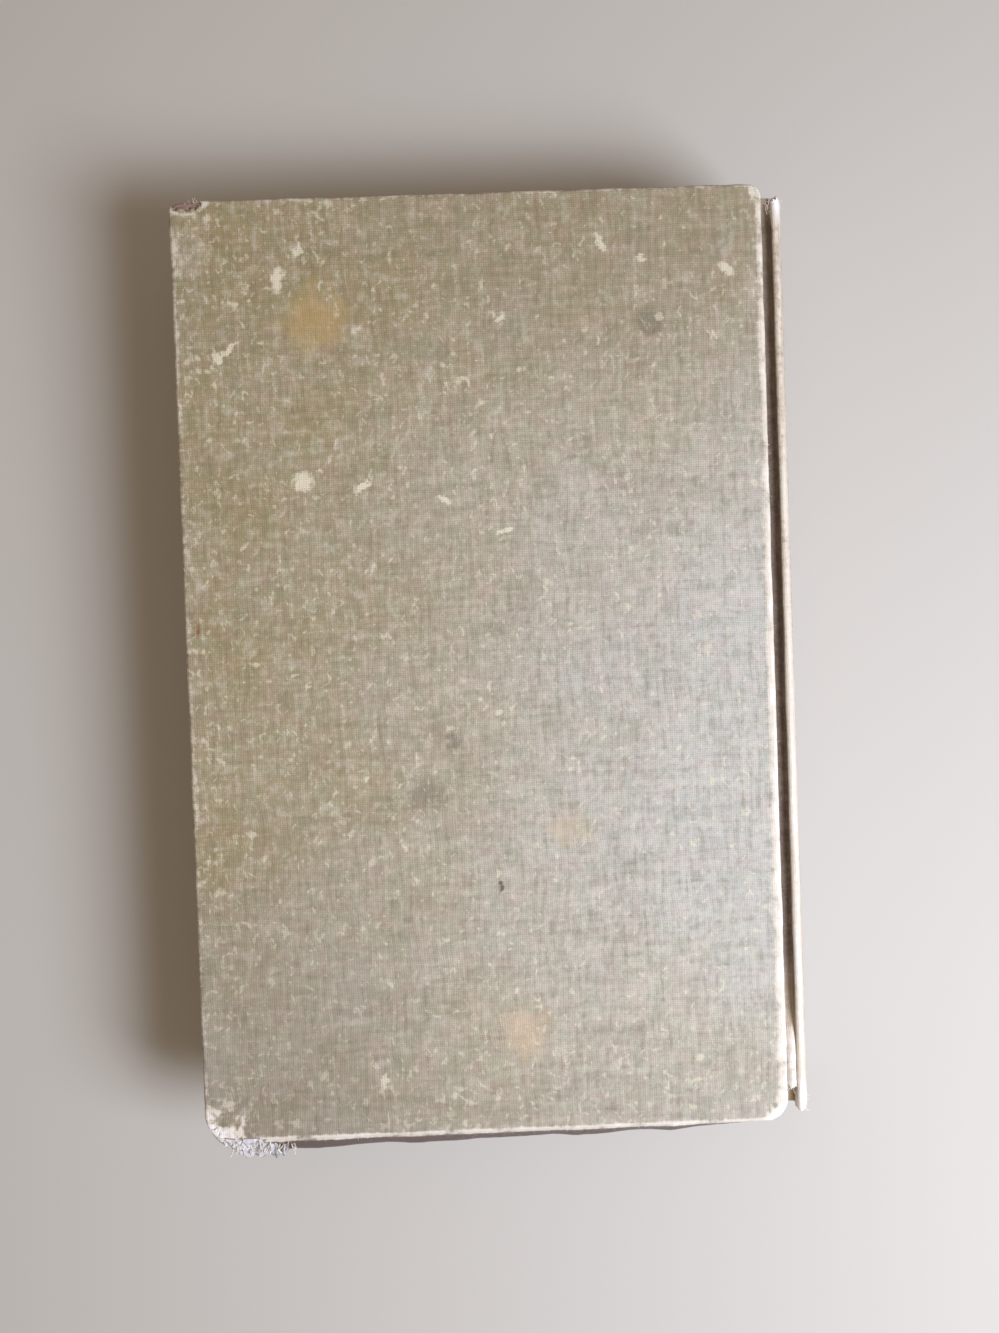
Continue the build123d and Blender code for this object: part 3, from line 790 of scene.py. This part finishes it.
def make_spine():
    """The cloth over the spine, worn short and ragged at its head and tail."""
    half = spine_section()
    section = [(x, -z, -a) for x, z, a in half[:0:-1]] + half
    arc = range(len(half) - 1 - 15, len(half) - 1 + 16)
    stations = along_spine(spine_low[1], spine_high[1])
    points, values = [], new_paint()

    def add_point(x, y, z, angle, into):
        drift = 0.09 * wander(x, y, z, 14.0, 5.0) + 0.05 * wander(x, y, z, 3.0, 5.0)
        out = drift - into
        points.append((x + out * math.cos(angle), y, middle_z + z + out * math.sin(angle)))
        top = abs(z) / shoulder_rise
        in_groove = ease(abs(angle), 2.4, 3.1)
        near_end = max(ease(y, spine_low[1] + 7, spine_low[1]), ease(y, spine_high[1] - 7, spine_high[1]))
        streak = 0.22 * wander(x * 6, y, z * 6, 9.0, 2.0)
        # The shoulders are painted paler, more towards the tail: partly rubbed cloth, partly a painted
        # highlight.
        rubbed_and_highlit = (0.72 - 0.34 * ease(y, -40, 92)) * ease(top, 0.62, 0.95) * (1 - in_groove)
        values["wear_and_highlight"].append(rubbed_and_highlit + (0.4 + 0.5 * ease(top, 0.6, 0.9)) * near_end + streak)
        # The spine's wall of the groove is painted dark: dirt and painted shade.
        values["grime_and_shade"].append(0.95 * in_groove * ease(y, -84, -68) + 0.08)
        values["handled"].append(0.9 + 0.3 * near_end)
        values["fade_and_sheen"].append(0.6 + 0.3 * wander(x, y, z, 20.0, 9.0))

    count = len(section)
    for y in stations:
        for x, z, angle in section:
            tail, head = spine_low[1], spine_high[1]
            near_end = 1 - min(ease(y, tail, tail + 3), ease(y, head, head - 3))
            end_rag = 0.0
            if near_end > 0:
                end_rag = near_end * (0.75 * wander(x, z, 0, 2.3, y) + 0.35 * wander(x, z, 0, 0.8, y) - 0.15)
                end_rag *= 1 if y > 0 else -1
            add_point(x, y + end_rag, z, angle, 0.0)
    faces = grid_faces(len(stations), count)

    # The turned-in ends: from the edge of the last row, round the card and back inside for 12 mm
    for row, way in ((0, 1), (len(stations) - 1, -1)):
        previous = [row * count + i for i in arc]
        for into, back in END_TURNS:
            current = []
            for i in arc:
                x, z, angle = section[i]
                base = points[row * count + i][1]
                current.append(len(points))
                add_point(x, base + way * back, z, angle, into)
            for k in range(len(previous) - 1):
                quad = (previous[k], previous[k + 1], current[k + 1], current[k])
                faces.append(quad[::-1] if way > 0 else quad)
            previous = current
    obj = new_piece("spine_cover", points, faces, spine_cloth_finish, values)
    bm = bmesh.new()
    bm.from_mesh(obj.data)
    bmesh.ops.recalc_face_normals(bm, faces=bm.faces)
    bm.to_mesh(obj.data)
    bm.free()
    crown = max(obj.data.polygons, key=lambda f: f.center.x)
    if crown.normal.x < 0:
        obj.data.flip_normals()
    return thicken(obj, cloth - 0.03)


spine_cover = make_spine()
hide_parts("spine_cloth")
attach(spine_cover, "leaves_and_spine")

# %% [markdown]
# ## The joints
# Between board and shoulder the cloth is pressed down into a groove. This strip lies where the book
# hinges, between the cover and the spine. Inside it runs the endpaper, from the pastedown to the
# flyleaf, so each joint gets a strip of paper too.

# %% Joint cloth and the paper inside it
JOINT_HEAD, JOINT_TAIL = 92.3, -88.2
JOINT_EDGE_DEPTH = 1.75  # mm; depth of the strip's two long edges
JOINT_FLOOR_LIFT = 1.90  # mm; more makes a shallower groove


def joint_strip(name, back):
    """The cloth of one groove, torn away near the tail and lifted at the head."""
    section = 18
    stations = along_spine(JOINT_TAIL, JOINT_HEAD)
    points, values = [], new_paint()
    for row, y in enumerate(stations):
        for i in range(section + 1):
            t = i / section
            x = joint_x - 0.06 + (wall_x - joint_x + 0.12) * t
            hollow = math.sin(math.pi * t) ** 0.35
            lift = 1.1 * ease(y, 90.0, 92.6) + 2.3 * ease(y, -71.0, -82.0)
            lift += 0.1 * (wander(x, y, 0, 5.0, 4.0) + 0.7) + 0.06 * wander(x, y, 0, 1.2, 4.0)
            depth = JOINT_EDGE_DEPTH + (cover_depth - cloth - JOINT_FLOOR_LIFT) * hollow - lift * hollow
            rag = 0.0
            if row < 6:
                rag = (6 - row) * 0.22 * wander(x * 2, 0, 0, 0.9, 6.0)
            points.append((x, y + rag, thickness - depth if back else depth))
            frayed = ease(y, -72, -82) * (0.8 + 0.4 * wander(x, y, 0, 1.4, 2.0))
            values["wear_and_highlight"].append(1.1 * frayed + 0.3 * ease(y, 91, 93) + 0.12 * wander(x, y, 0, 2.0, 1.0))
            # The groove's cloth is painted dark, paler at its ends: dirt and painted shade.
            paler_ends = (1 - 0.9 * ease(y, -56, -80)) * (1 - 0.6 * ease(y, 87, 92))
            values["grime_and_shade"].append((0.92 - 0.16 * ease(y, 30, 84)) * paler_ends)
            values["handled"].append(0.3)
            values["fade_and_sheen"].append(0.25 + 0.6 * frayed)
    faces = grid_faces(len(stations), section + 1, turned=not back)
    return thicken(new_piece(name, points, faces, spine_cloth_finish, values), cloth - 0.05)


def joint_paper(name, back):
    """The endpaper across one joint: off the board, to the foot of the shoulder and back to the leaves."""
    reach = wall_x - 0.25
    fly_x = flyleaf_high[0]
    fold_depth = cover_depth + 0.2
    fly_depth = thickness - (flyleaf_low[2] + flyleaf_high[2]) / 2
    start = joint_x - 0.5
    path = [(start + (reach - joint_x + 0.5) * i / 12, cover_depth + 0.08 + 0.12 * i / 12) for i in range(13)]
    path += [(reach + 0.06, fold_depth + 0.06), (reach - 0.1, fold_depth + 0.12), (fly_x - 0.4, fly_depth)]
    low, high = flyleaf_low[1], flyleaf_high[1]
    rows = 40
    points = []
    for row in range(rows + 1):
        y = low + (high - low) * row / rows
        for x, depth in path:
            points.append((x, y, thickness - depth if back else depth))
    faces = grid_faces(rows + 1, len(path), turned=not back)
    return thicken(new_piece(name, points, faces, endpaper), 0.12, offset=0)


for side in ("back", "front"):
    back = side == "back"
    level = thickness if back else 0.0
    inward = -1 if back else 1
    strip = joint_strip(f"{side}_joint_cover", back)
    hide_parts(f"{side}_joint_cloth")
    floor_z = (level + inward * cover_depth) * MM
    paper = joint_paper(f"{side}_joint_paper", back)
    cloth_ends = [((joint_x + 0.1) * MM, 0, floor_z), ((wall_x - 0.1) * MM, 0, floor_z)]
    paper_ends = [(wall_x * MM, 0, (level + inward * (cover_depth + rise)) * MM) for rise in (0.09, 0.19)]
    bodies = [f"{side}_cover", "leaves_and_spine"]
    # For the back joint these lists are turned round, so that the leaves come first.
    if back:
        for pair in (bodies, cloth_ends, paper_ends):
            pair.reverse()
    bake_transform(strip)
    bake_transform(paper)

# %% [markdown]
# ## The leaves
# Sewn leaves are all the same width. When the spine is rounded with a hammer, each leaf only slides:
# those in the middle move outwards, so the back becomes round and the fore edge hollow by the same
# curve. That rule suits Geometry Nodes. A column of points carries one leaf each, the leaves slide
# by the curve, sections of eight wander together, and near the spine they fan out into the shoulder.

# %% Leaf stack with Geometry Nodes
LEAVES = 168
SECTION = 8
LEAF_THICKNESS = 0.105


def geometry_tree(name, inputs, takes_mesh=False):
    """A new geometry tree with named inputs: returns it and the outputs of its group input node."""
    tree = bpy.data.node_groups.new(name, "GeometryNodeTree")
    if takes_mesh:
        tree.interface.new_socket(name="Geometry", in_out="INPUT", socket_type="NodeSocketGeometry")
    for key, value in inputs.items():
        kind = {int: "Int", float: "Float", tuple: "Vector"}[type(value)]
        socket = tree.interface.new_socket(name=key, in_out="INPUT", socket_type="NodeSocket" + kind)
        socket.default_value = value
    tree.interface.new_socket(name="Geometry", in_out="OUTPUT", socket_type="NodeSocketGeometry")
    return tree, node(tree, "NodeGroupInput").outputs


def leaf_tree(material):
    """Geometry nodes for a rounded, sewn stack of leaves. Sizes are metres."""
    tree, given = geometry_tree("sewn_leaves", {
        "Leaves": LEAVES, "Leaves in a section": SECTION, "Lowest leaf": 0.0, "Spacing": 0.0,
        "Middle height": 0.0, "Leaf size": (0.1, 0.1, 0.0001), "Leaf centre": 0.0, "Round radius": 0.03,
        "Shoulder start": 0.0, "Shoulder end": 0.0, "Fan": 0.1, "Unevenness": 0.0001, "Seed": 7,
    })
    start = node(tree, "CombineXYZ", {0: given["Leaf centre"], 2: given["Lowest leaf"]})
    step = node(tree, "CombineXYZ", {2: given["Spacing"]})
    column = node(
        tree, "GeometryNodeMeshLine", {"Count": given["Leaves"], "Start Location": start, "Offset": step}
    )
    index = node(tree, "GeometryNodeInputIndex")
    numbered = node(
        tree, "GeometryNodeStoreNamedAttribute",
        {"Geometry": column, "Name": "leaf", "Value": index}, data_type="INT",
    )
    tone = node(
        tree, "FunctionNodeRandomValue",
        {2: 0.0, 3: 1.0, "ID": index, "Seed": given["Seed"]}, data_type="FLOAT",
    )
    numbered = node(
        tree, "GeometryNodeStoreNamedAttribute",
        {"Geometry": numbered, "Name": "tone", "Value": tone}, data_type="FLOAT",
    )
    sheet = node(
        tree, "GeometryNodeMeshCube",
        {"Size": given["Leaf size"], "Vertices X": 11, "Vertices Y": 8, "Vertices Z": 2},
    )
    # Crowd the leaf's points towards the spine: a share t of its width becomes 1 - (1 - t) cubed
    own_x = node(tree, "SeparateXYZ", {0: node(tree, "GeometryNodeInputPosition")})
    width = node(tree, "SeparateXYZ", {0: given["Leaf size"]})
    share = node(tree, "Math DIVIDE", {0: own_x, 1: width})
    from_spine = node(tree, "Math SUBTRACT", {0: 0.5, 1: share})
    cubed = node(tree, "Math POWER", {0: from_spine, 1: 3.0})
    shift = node(tree, "Math SUBTRACT", {0: from_spine, 1: cubed})
    shift = node(tree, "Math MULTIPLY", {0: shift, 1: width})
    to_spine = node(tree, "CombineXYZ", {0: shift})
    leaf = node(tree, "GeometryNodeSetPosition", {"Geometry": sheet, "Offset": to_spine})
    stack = node(tree, "GeometryNodeInstanceOnPoints", {"Points": numbered, "Instance": leaf})
    real = node(tree, "GeometryNodeRealizeInstances", {0: stack})
    number = node(tree, "GeometryNodeInputNamedAttribute", {"Name": "leaf"}, data_type="INT")
    section = node(tree, "Math DIVIDE", {0: number, 1: given["Leaves in a section"]})
    whole = node(tree, "Math FLOOR", {0: section})
    place = node(tree, "SeparateXYZ", {0: node(tree, "GeometryNodeInputPosition")})
    height = node(tree, "Math SUBTRACT", {0: place.outputs[2], 1: given["Middle height"]})
    square = node(tree, "Math MULTIPLY", {0: height, 1: height})
    radius = given["Round radius"]
    radius_square = node(tree, "Math MULTIPLY", {0: radius, 1: radius})
    under = node(tree, "Math SUBTRACT", {0: radius_square, 1: square})
    chord = node(tree, "Math SQRT", {0: under})
    slide = node(tree, "Math SUBTRACT", {0: chord, 1: radius})
    drifts = []
    for which, share in ((number, 1.0), (whole, 1.3)):
        amount = node(tree, "Math MULTIPLY", {0: given["Unevenness"], 1: share})
        least = node(tree, "Math MULTIPLY", {0: amount, 1: -1.0})
        high = node(tree, "CombineXYZ", {0: amount, 1: amount})
        low = node(tree, "CombineXYZ", {0: least, 1: least})
        drifts.append(node(
            tree, "FunctionNodeRandomValue",
            {"Min": low, "Max": high, "ID": which, "Seed": given["Seed"]}, data_type="FLOAT_VECTOR",
        ))
    drift = node(tree, "VectorMath ADD", {0: drifts[0], 1: drifts[1]})
    slid = node(tree, "Math ADD", {0: place.outputs[0], 1: slide})
    fan = node(
        tree, "MapRange SMOOTHSTEP",
        {0: slid, 1: given["Shoulder start"], 2: given["Shoulder end"], 4: given["Fan"]},
    )
    spread = node(tree, "Math MULTIPLY", {0: fan, 1: height})
    moved = node(tree, "CombineXYZ", {0: slide, 2: spread})
    both = node(tree, "VectorMath ADD", {0: moved, 1: drift})
    shaped = node(tree, "GeometryNodeSetPosition", {"Geometry": real, "Offset": both})
    finished = node(tree, "GeometryNodeSetMaterial", {"Geometry": shaped, "Material": material})
    node(tree, "NodeGroupOutput", {0: finished})
    return tree


def grow(name, tree, sizes, start=None):
    """Runs a geometry tree on a mesh, or on an empty one, and keeps what it makes as a plain mesh."""
    obj = bpy.data.objects.new(name, start or bpy.data.meshes.new(name))
    scene.collection.objects.link(obj)
    maker = obj.modifiers.new(tree.name, "NODES")
    maker.node_group = tree
    sockets = {s.name: s.identifier for s in tree.interface.items_tree if s.in_out == "INPUT"}
    for key, value in sizes.items():
        maker[sockets[key]] = value
    settle(obj)
    return obj


leaf_low = extent("front_flyleaf")[1][2]
leaf_high = flyleaf_low[2]
leaf_gap = (leaf_high - leaf_low) / LEAVES
lining = spine_radius - 1.37  # radius of the leaves' back, inside cloth, card and linings
most_slide = lining - math.sqrt(lining**2 - ((leaf_high - leaf_low) / 2) ** 2)
leaf_width = spine_centre + lining - leaves_low[0] - most_slide
leaf_right = spine_centre + lining
leaves = grow(
    "leaves", leaf_tree(leaf_paper),
    {
        "Leaves": LEAVES, "Leaves in a section": SECTION,
        "Lowest leaf": (leaf_low + leaf_gap / 2) * MM, "Spacing": leaf_gap * MM,
        "Middle height": middle_z * MM,
        "Leaf size": (leaf_width * MM, (leaves_high[1] - leaves_low[1]) * MM, LEAF_THICKNESS * MM),
        "Leaf centre": (leaf_right - leaf_width / 2) * MM,
        "Round radius": lining * MM,
        "Shoulder start": (wall_x - 0.15) * MM,
        "Shoulder end": (wall_x + 1.0) * MM,
        "Fan": 0.1,
        "Unevenness": 0.07 * MM,
        "Seed": 7,
    },
)
leaves.data.shade_flat()
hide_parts("text_block")
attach(leaves, "leaves_and_spine")

# %% [markdown]
# ## The burst corner
# The book has been dropped on this corner. Millboard is made of pressed layers, so a blow parts them
# like a pack of cards, and they fray. Each layer here is a small curved sheet with a ragged outline.
# They fan out from inside the board's edge, and the lower and right ones are painted darker, as painted
# shade.

# %% Torn board layers at the tail corner
LAYERS = (  # from x, to x, reach past the edge, depth at the edge and at the tip, painted shade left and right
    (-60.0, -52.0, 3.1, 0.75, 1.15, 0.0, 0.1),
    (-58.3, -47.0, 4.9, 1.15, 2.0, 0.0, 0.35),
    (-56.5, -43.5, 5.4, 1.65, 2.9, 0.1, 0.8),
    (-53.0, -41.0, 4.6, 2.2, 3.6, 0.5, 1.0),
)


def make_layers():
    """The board's layers, parted and torn, as one piece."""
    across, out = 64, 12
    points, faces, dirt_and_shade = [], [], []
    for n, (x0, x1, reach, d0, d1, lit_end, shaded_end) in enumerate(LAYERS):
        first = len(points)
        for i in range(across + 1):
            u = i / across
            x = x0 + (x1 - x0) * u
            ragged = 0.22 * wander(x, n, 0, 1.7, n) + 0.13 * wander(x, n, 0, 0.5, n)
            length = reach * (math.sin(math.pi * min(max(u, 0.02), 0.98)) ** 0.45 + ragged)
            for j in range(out + 1):
                v = j / out
                y = tail_y + 1.2 - length * v
                depth = d0 + (d1 - d0) * v * v
                depth = depth + 0.25 * wander(x, y, n, 2.2, n) * v + 0.08 * wander(x, y, n, 0.7, n)
                points.append((x + 0.3 * v * wander(x, y, n, 1.5, 30), y, thickness - depth))
                # Darker to the right and on the lower layers: painted shade.
                dirt_and_shade.append(lit_end + (shaded_end - lit_end) * u + 0.25 * wander(x, y, n, 1.2, 50))
        faces += grid_faces(across + 1, out + 1, first=first)
    return thicken(new_piece("tail_corner_layers", points, faces, torn_board, {"grime_and_shade": dirt_and_shade}), 0.22, offset=0)


layers = make_layers()
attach(layers, "back_cover")

# %% [markdown]
# ## Frayed threads
# Where cloth wears through, its cut threads stand up in all directions. Hundreds of small alike
# things suit Geometry Nodes: guide points along each worn edge carry the way out and a length, and
# every point grows one bent thread. The seed is fixed, so the fray is the same on every run.

# %% Thread tree
def thread_tree(material):
    """Geometry nodes that grow one bent thread from each guide point."""
    inputs = {"Thickness": 0.04, "Lean": 0.5, "Curl": 0.0005, "Seed": 3}
    tree, given = geometry_tree("frayed_threads", inputs, takes_mesh=True)
    bend = node(
        tree, "GeometryNodeCurveQuadraticBezier",
        {"Resolution": 6, "Start": (0, 0, 0), "Middle": (0.1, 0, 0.55), "End": (0.45, 0.1, 0.85)},
    )
    ring = node(tree, "GeometryNodeCurvePrimitiveCircle", {"Resolution": 3, "Radius": given["Thickness"]})
    along = node(tree, "GeometryNodeSplineParameter").outputs["Factor"]
    marked = node(
        tree, "GeometryNodeStoreNamedAttribute",
        {"Geometry": bend, "Name": "along", "Value": along}, data_type="FLOAT",
    )
    strand = node(
        tree, "GeometryNodeCurveToMesh", {"Curve": marked, "Profile Curve": ring, "Fill Caps": True}
    )
    way = node(tree, "GeometryNodeInputNamedAttribute", {"Name": "way"}, data_type="FLOAT_VECTOR")
    lean = given["Lean"]
    most = node(tree, "CombineXYZ", {0: lean, 1: lean, 2: lean})
    least = node(tree, "VectorMath MULTIPLY", {0: most, 1: (-1, -1, -1)})
    chance = node(
        tree, "FunctionNodeRandomValue",
        {"Min": least, "Max": most, "Seed": given["Seed"]}, data_type="FLOAT_VECTOR",
    )
    aim = node(tree, "VectorMath ADD", {0: way, 1: chance})
    turned = node(tree, "FunctionNodeAlignRotationToVector", {"Vector": aim}, axis="Z")
    spin = node(
        tree, "FunctionNodeRandomValue", {2: 0.0, 3: 6.283, "Seed": given["Seed"]}, data_type="FLOAT"
    )
    roll = node(tree, "FunctionNodeAxisAngleToRotation", {"Axis": (0, 0, 1), "Angle": spin})
    turned = node(tree, "FunctionNodeRotateRotation", {0: turned, 1: roll}, rotation_space="LOCAL")
    length = node(tree, "GeometryNodeInputNamedAttribute", {"Name": "length"}, data_type="FLOAT")
    threads = node(
        tree, "GeometryNodeInstanceOnPoints",
        {"Points": given["Geometry"], "Instance": strand, "Rotation": turned, "Scale": length},
    )
    real = node(tree, "GeometryNodeRealizeInstances", {0: threads})
    ripple = node(tree, "TexNoise", {"Scale": 700.0, "Detail": 1.0}).outputs["Color"]
    centred = node(tree, "VectorMath SUBTRACT", {0: ripple, 1: (0.5, 0.5, 0.5)})
    loose = node(tree, "GeometryNodeInputNamedAttribute", {"Name": "along"}, data_type="FLOAT")
    amount = node(tree, "Math MULTIPLY", {0: loose, 1: given["Curl"]})
    curl = node(tree, "VectorMath SCALE", {0: centred, "Scale": amount})
    curled = node(tree, "GeometryNodeSetPosition", {"Geometry": real, "Offset": curl})
    finished = node(tree, "GeometryNodeSetMaterial", {"Geometry": curled, "Material": material})
    node(tree, "NodeGroupOutput", {0: finished})
    return tree


frayed_threads = thread_tree(bare_cotton)


def fray(name, guides, body):
    """Grows threads at guides, a list of (point, way out, length), all in millimetres."""
    mesh = bpy.data.meshes.new(name)
    mesh.from_pydata([[c * MM for c in point] for point, _, _ in guides], [], [])
    ways = [c for _, way, _ in guides for c in way]
    mesh.attributes.new("way", "FLOAT_VECTOR", "POINT").data.foreach_set("vector", ways)
    mesh.attributes.new("length", "FLOAT", "POINT").data.foreach_set("value", [g[2] * MM for g in guides])
    obj = grow(name, frayed_threads, {"Thickness": 0.035, "Lean": 0.55, "Curl": 0.9 * MM, "Seed": 5}, mesh)
    obj.data.shade_smooth()
    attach(obj, body)
    return obj


# %% Guides along the worn edges
chance = random.Random(12)


def guides_along(count, start, end, way, length, scatter=0.3):
    """Guide points strewn between two places."""
    made = []
    for _ in range(count):
        t = chance.random()
        point = [a + (b - a) * t + chance.uniform(-scatter, scatter) for a, b in zip(start, end)]
        made.append((point, way, length * chance.uniform(0.5, 1.3)))
    return made


top = thickness
cover_guides = (
    guides_along(90, (-58.5, -94.6, top - 1.2), (-45.0, -94.6, top - 2.0), (0.1, -1, -0.1), 3.2, 0.6)
    + guides_along(40, (-61.8, -89.0, top - 0.5), (-58.0, -94.2, top - 0.4), (-0.7, -0.7, 0.0), 1.3)
    + guides_along(60, (-44.0, -94.8, top - 0.5), (48.0, -94.8, top - 0.5), (0, -1, 0.2), 0.6, 0.12)
    + guides_along(34, (56.0, -90.5, top - 0.6), (52.0, -94.4, top - 0.6), (0.7, -0.7, 0.1), 1.1)
    + guides_along(26, (-62.0, 93.0, top - 0.5), (-56.0, 94.5, top - 0.4), (-0.3, 0.8, 0.2), 0.9)
    + guides_along(30, (53.5, 94.6, top - 0.5), (56.0, 91.5, top - 0.6), (0.6, 0.6, 0.1), 1.0)
    + guides_along(50, (56.1, -86.0, top - 0.5), (56.1, 88.0, top - 0.5), (1, 0, 0.3), 0.5, 0.1)
)
fray("cover_fray", cover_guides, "back_cover")
spine_guides = (
    guides_along(
        110, (wall_x - 1.4, -80.0, top - 2.3), (wall_x - 0.9, -88.0, top - 1.9), (0.1, -0.9, 0.5), 1.8, 0.45
    )
    + guides_along(30, (wall_x - 0.6, 89.0, top - 1.7), (wall_x - 0.3, 92.0, top - 1.2), (0, 0.6, 0.8), 1.2)
)
for angle_step in range(150):
    angle = shoulder_angle * (angle_step / 75 - 1)
    for y, way, length in ((spine_low[1] + 0.3, -1, 1.3), (spine_high[1] - 0.3, 1, 0.9)):
        place = (
            spine_centre + (spine_radius - 0.2) * math.cos(angle), y + chance.uniform(-0.3, 0.3),
            middle_z + (spine_radius - 0.2) * math.sin(angle),
        )
        spine_guides.append((place, (0.2, way, 0.0), length * chance.uniform(0.3, 1.2)))
fray("spine_fray", spine_guides, "leaves_and_spine")

# %% [markdown]
# ## Headbands
# A headband hides the gap between leaves and spine at each end. This is the cheap kind, cut from a
# roll: a tape with a bead along its edge, wound with silk in two colours. The frame has the tape and
# bead. A winding is one ring of thread, repeated along the bead's arc, which is a task for nodes.

# %% Silk windings along the beads
# Silk has a soft shine along the thread; the red has faded to brick, and the cream has yellowed
winding_pink = fibrous("faded_red_silk", "#A0705F", "#84584C", 0.12, roughness=0.5, depth=0.02)
winding_cream = fibrous("yellowed_silk", "#D8C49A", "#BCA676", 0.12, roughness=0.5, depth=0.02)


def winding_tree():
    """Geometry nodes for rings of thread along an arc, in bands of two colours."""
    tree, given = geometry_tree("silk_windings", {
        "Rings": 60, "Rings in a band": 5, "Arc radius": 0.03, "Half angle": 0.3, "Centre": (0, 0, 0),
        "Bead radius": 0.0006, "Thread radius": 0.0001,
    })
    start = node(tree, "Math MULTIPLY", {0: given["Half angle"], 1: -1.0})
    sweep = node(tree, "Math MULTIPLY", {0: given["Half angle"], 1: 2.0})
    arc = node(
        tree, "GeometryNodeCurveArc",
        {"Resolution": 64, "Radius": given["Arc radius"], "Start Angle": start, "Sweep Angle": sweep},
        mode="RADIUS",
    )
    upright = node(tree, "GeometryNodeTransform", {"Geometry": arc, "Rotation": (math.pi / 2, 0, 0)})
    placed = node(tree, "GeometryNodeTransform", {"Geometry": upright, "Translation": given["Centre"]})
    points = node(
        tree, "GeometryNodeCurveToPoints", {"Curve": placed, "Count": given["Rings"]}, mode="COUNT"
    )
    index = node(tree, "GeometryNodeInputIndex")
    numbered = node(
        tree, "GeometryNodeStoreNamedAttribute",
        {"Geometry": points.outputs[0], "Name": "ring", "Value": index}, data_type="INT",
    )
    loop = node(
        tree, "GeometryNodeCurvePrimitiveCircle", {"Resolution": 18, "Radius": given["Bead radius"]}
    )
    thread = node(
        tree, "GeometryNodeCurvePrimitiveCircle", {"Resolution": 5, "Radius": given["Thread radius"]}
    )
    ring = node(tree, "GeometryNodeCurveToMesh", {"Curve": loop, "Profile Curve": thread})
    rings = node(
        tree, "GeometryNodeInstanceOnPoints",
        {"Points": numbered, "Instance": ring, "Rotation": points.outputs["Rotation"]},
    )
    real = node(tree, "GeometryNodeRealizeInstances", {0: rings})
    number = node(tree, "GeometryNodeInputNamedAttribute", {"Name": "ring"}, data_type="INT")
    band = node(tree, "Math DIVIDE", {0: number, 1: given["Rings in a band"]})
    whole = node(tree, "Math FLOOR", {0: band})
    odd = node(tree, "Math MODULO", {0: whole, 1: 2.0})
    cream = node(tree, "GeometryNodeSetMaterial", {"Geometry": real, "Material": winding_cream})
    both = node(
        tree, "GeometryNodeSetMaterial", {"Geometry": cream, "Selection": odd, "Material": winding_pink}
    )
    node(tree, "NodeGroupOutput", {0: both})
    return tree


BEAD_RADIUS = 0.6
SILK_RADIUS = 0.13
SILK_PITCH = 0.27  # mm from one winding to the next
windings = winding_tree()
for end in ("head", "tail"):
    low, high = extent(f"{end}_band")
    bead_y = high[1] - BEAD_RADIUS if end == "head" else low[1] + BEAD_RADIUS
    bead_arc = high[0] - BEAD_RADIUS - spine_centre
    half_angle = math.asin(((high[2] - low[2]) / 2) / (bead_arc + BEAD_RADIUS)) - 0.01
    silk = grow(
        f"{end}_band_silk", windings,
        {
            "Rings": round(2 * half_angle * bead_arc / SILK_PITCH),
            "Rings in a band": 5,
            "Arc radius": bead_arc * MM,
            "Half angle": half_angle,
            "Centre": (spine_centre * MM, bead_y * MM, middle_z * MM),
            "Bead radius": (BEAD_RADIUS + 0.02) * MM,
            "Thread radius": SILK_RADIUS * MM,
        },
    )
    silk.data.shade_smooth()
    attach(silk, "leaves_and_spine")

# %% [markdown]
# ## Light, floor and camera
# A large soft light stands low on the spine's side of the tail, like a window, so the shadow falls
# soft towards the fore edge and the head. A weaker warm sky fills it. The camera looks straight
# down from arm's length.

# %% Floor and lights
floor_mesh = bpy.data.meshes.new("floor")
floor_mesh.from_pydata([(-3, -3, 0), (3, -3, 0), (3, 3, 0), (-3, 3, 0)], [], [(0, 1, 2, 3)])
floor = bpy.data.objects.new("floor", floor_mesh)
scene.collection.objects.link(floor)
floor.location.z = -0.0002
# A pale matt table: even and slightly warm, so it shows only the shadow
floor_finish, _, floor_shader = new_material("pale_matt_floor")
feed(floor_shader, {"Base Color": "#BDB8B0", "Roughness": 0.9})
floor_mesh.materials.append(floor_finish)


def soft_light(name, place, size, power, colour):
    """A square area light that faces the middle of the book."""
    lamp = bpy.data.lights.new(name, "AREA")
    lamp.size, lamp.energy, lamp.color = size, power, linear(colour)[:3]
    obj = bpy.data.objects.new(name, lamp)
    scene.collection.objects.link(obj)
    obj.location = place
    obj.rotation_euler = (Vector((0, 0, 0.014)) - Vector(place)).to_track_quat("-Z", "Y").to_euler()
    return obj


soft_light("window", (0.31, -0.17, 0.40), 0.25, 4.1, "#E6EEFF")
soft_light("room", (-0.5, 0.6, 1.5), 1.2, 2.2, "#FFE8CE")
world = bpy.data.worlds.new("soft_room")
scene.world = world
world.use_nodes = True
feed(world.node_tree.nodes["Background"], {"Color": "#FFEAD2", "Strength": 0.30})

# %% Camera
camera = bpy.data.objects.new("camera", bpy.data.cameras.new("camera"))
scene.collection.objects.link(camera)
camera.location = (-0.0018, 0.0043, 0.2679)
camera.rotation_euler = [math.radians(a) for a in (-1.08, -0.58, -2.0)]
camera.data.lens = 32.1
camera.data.clip_start = 0.01
scene.camera = camera
scene.view_settings.view_transform = "Standard"
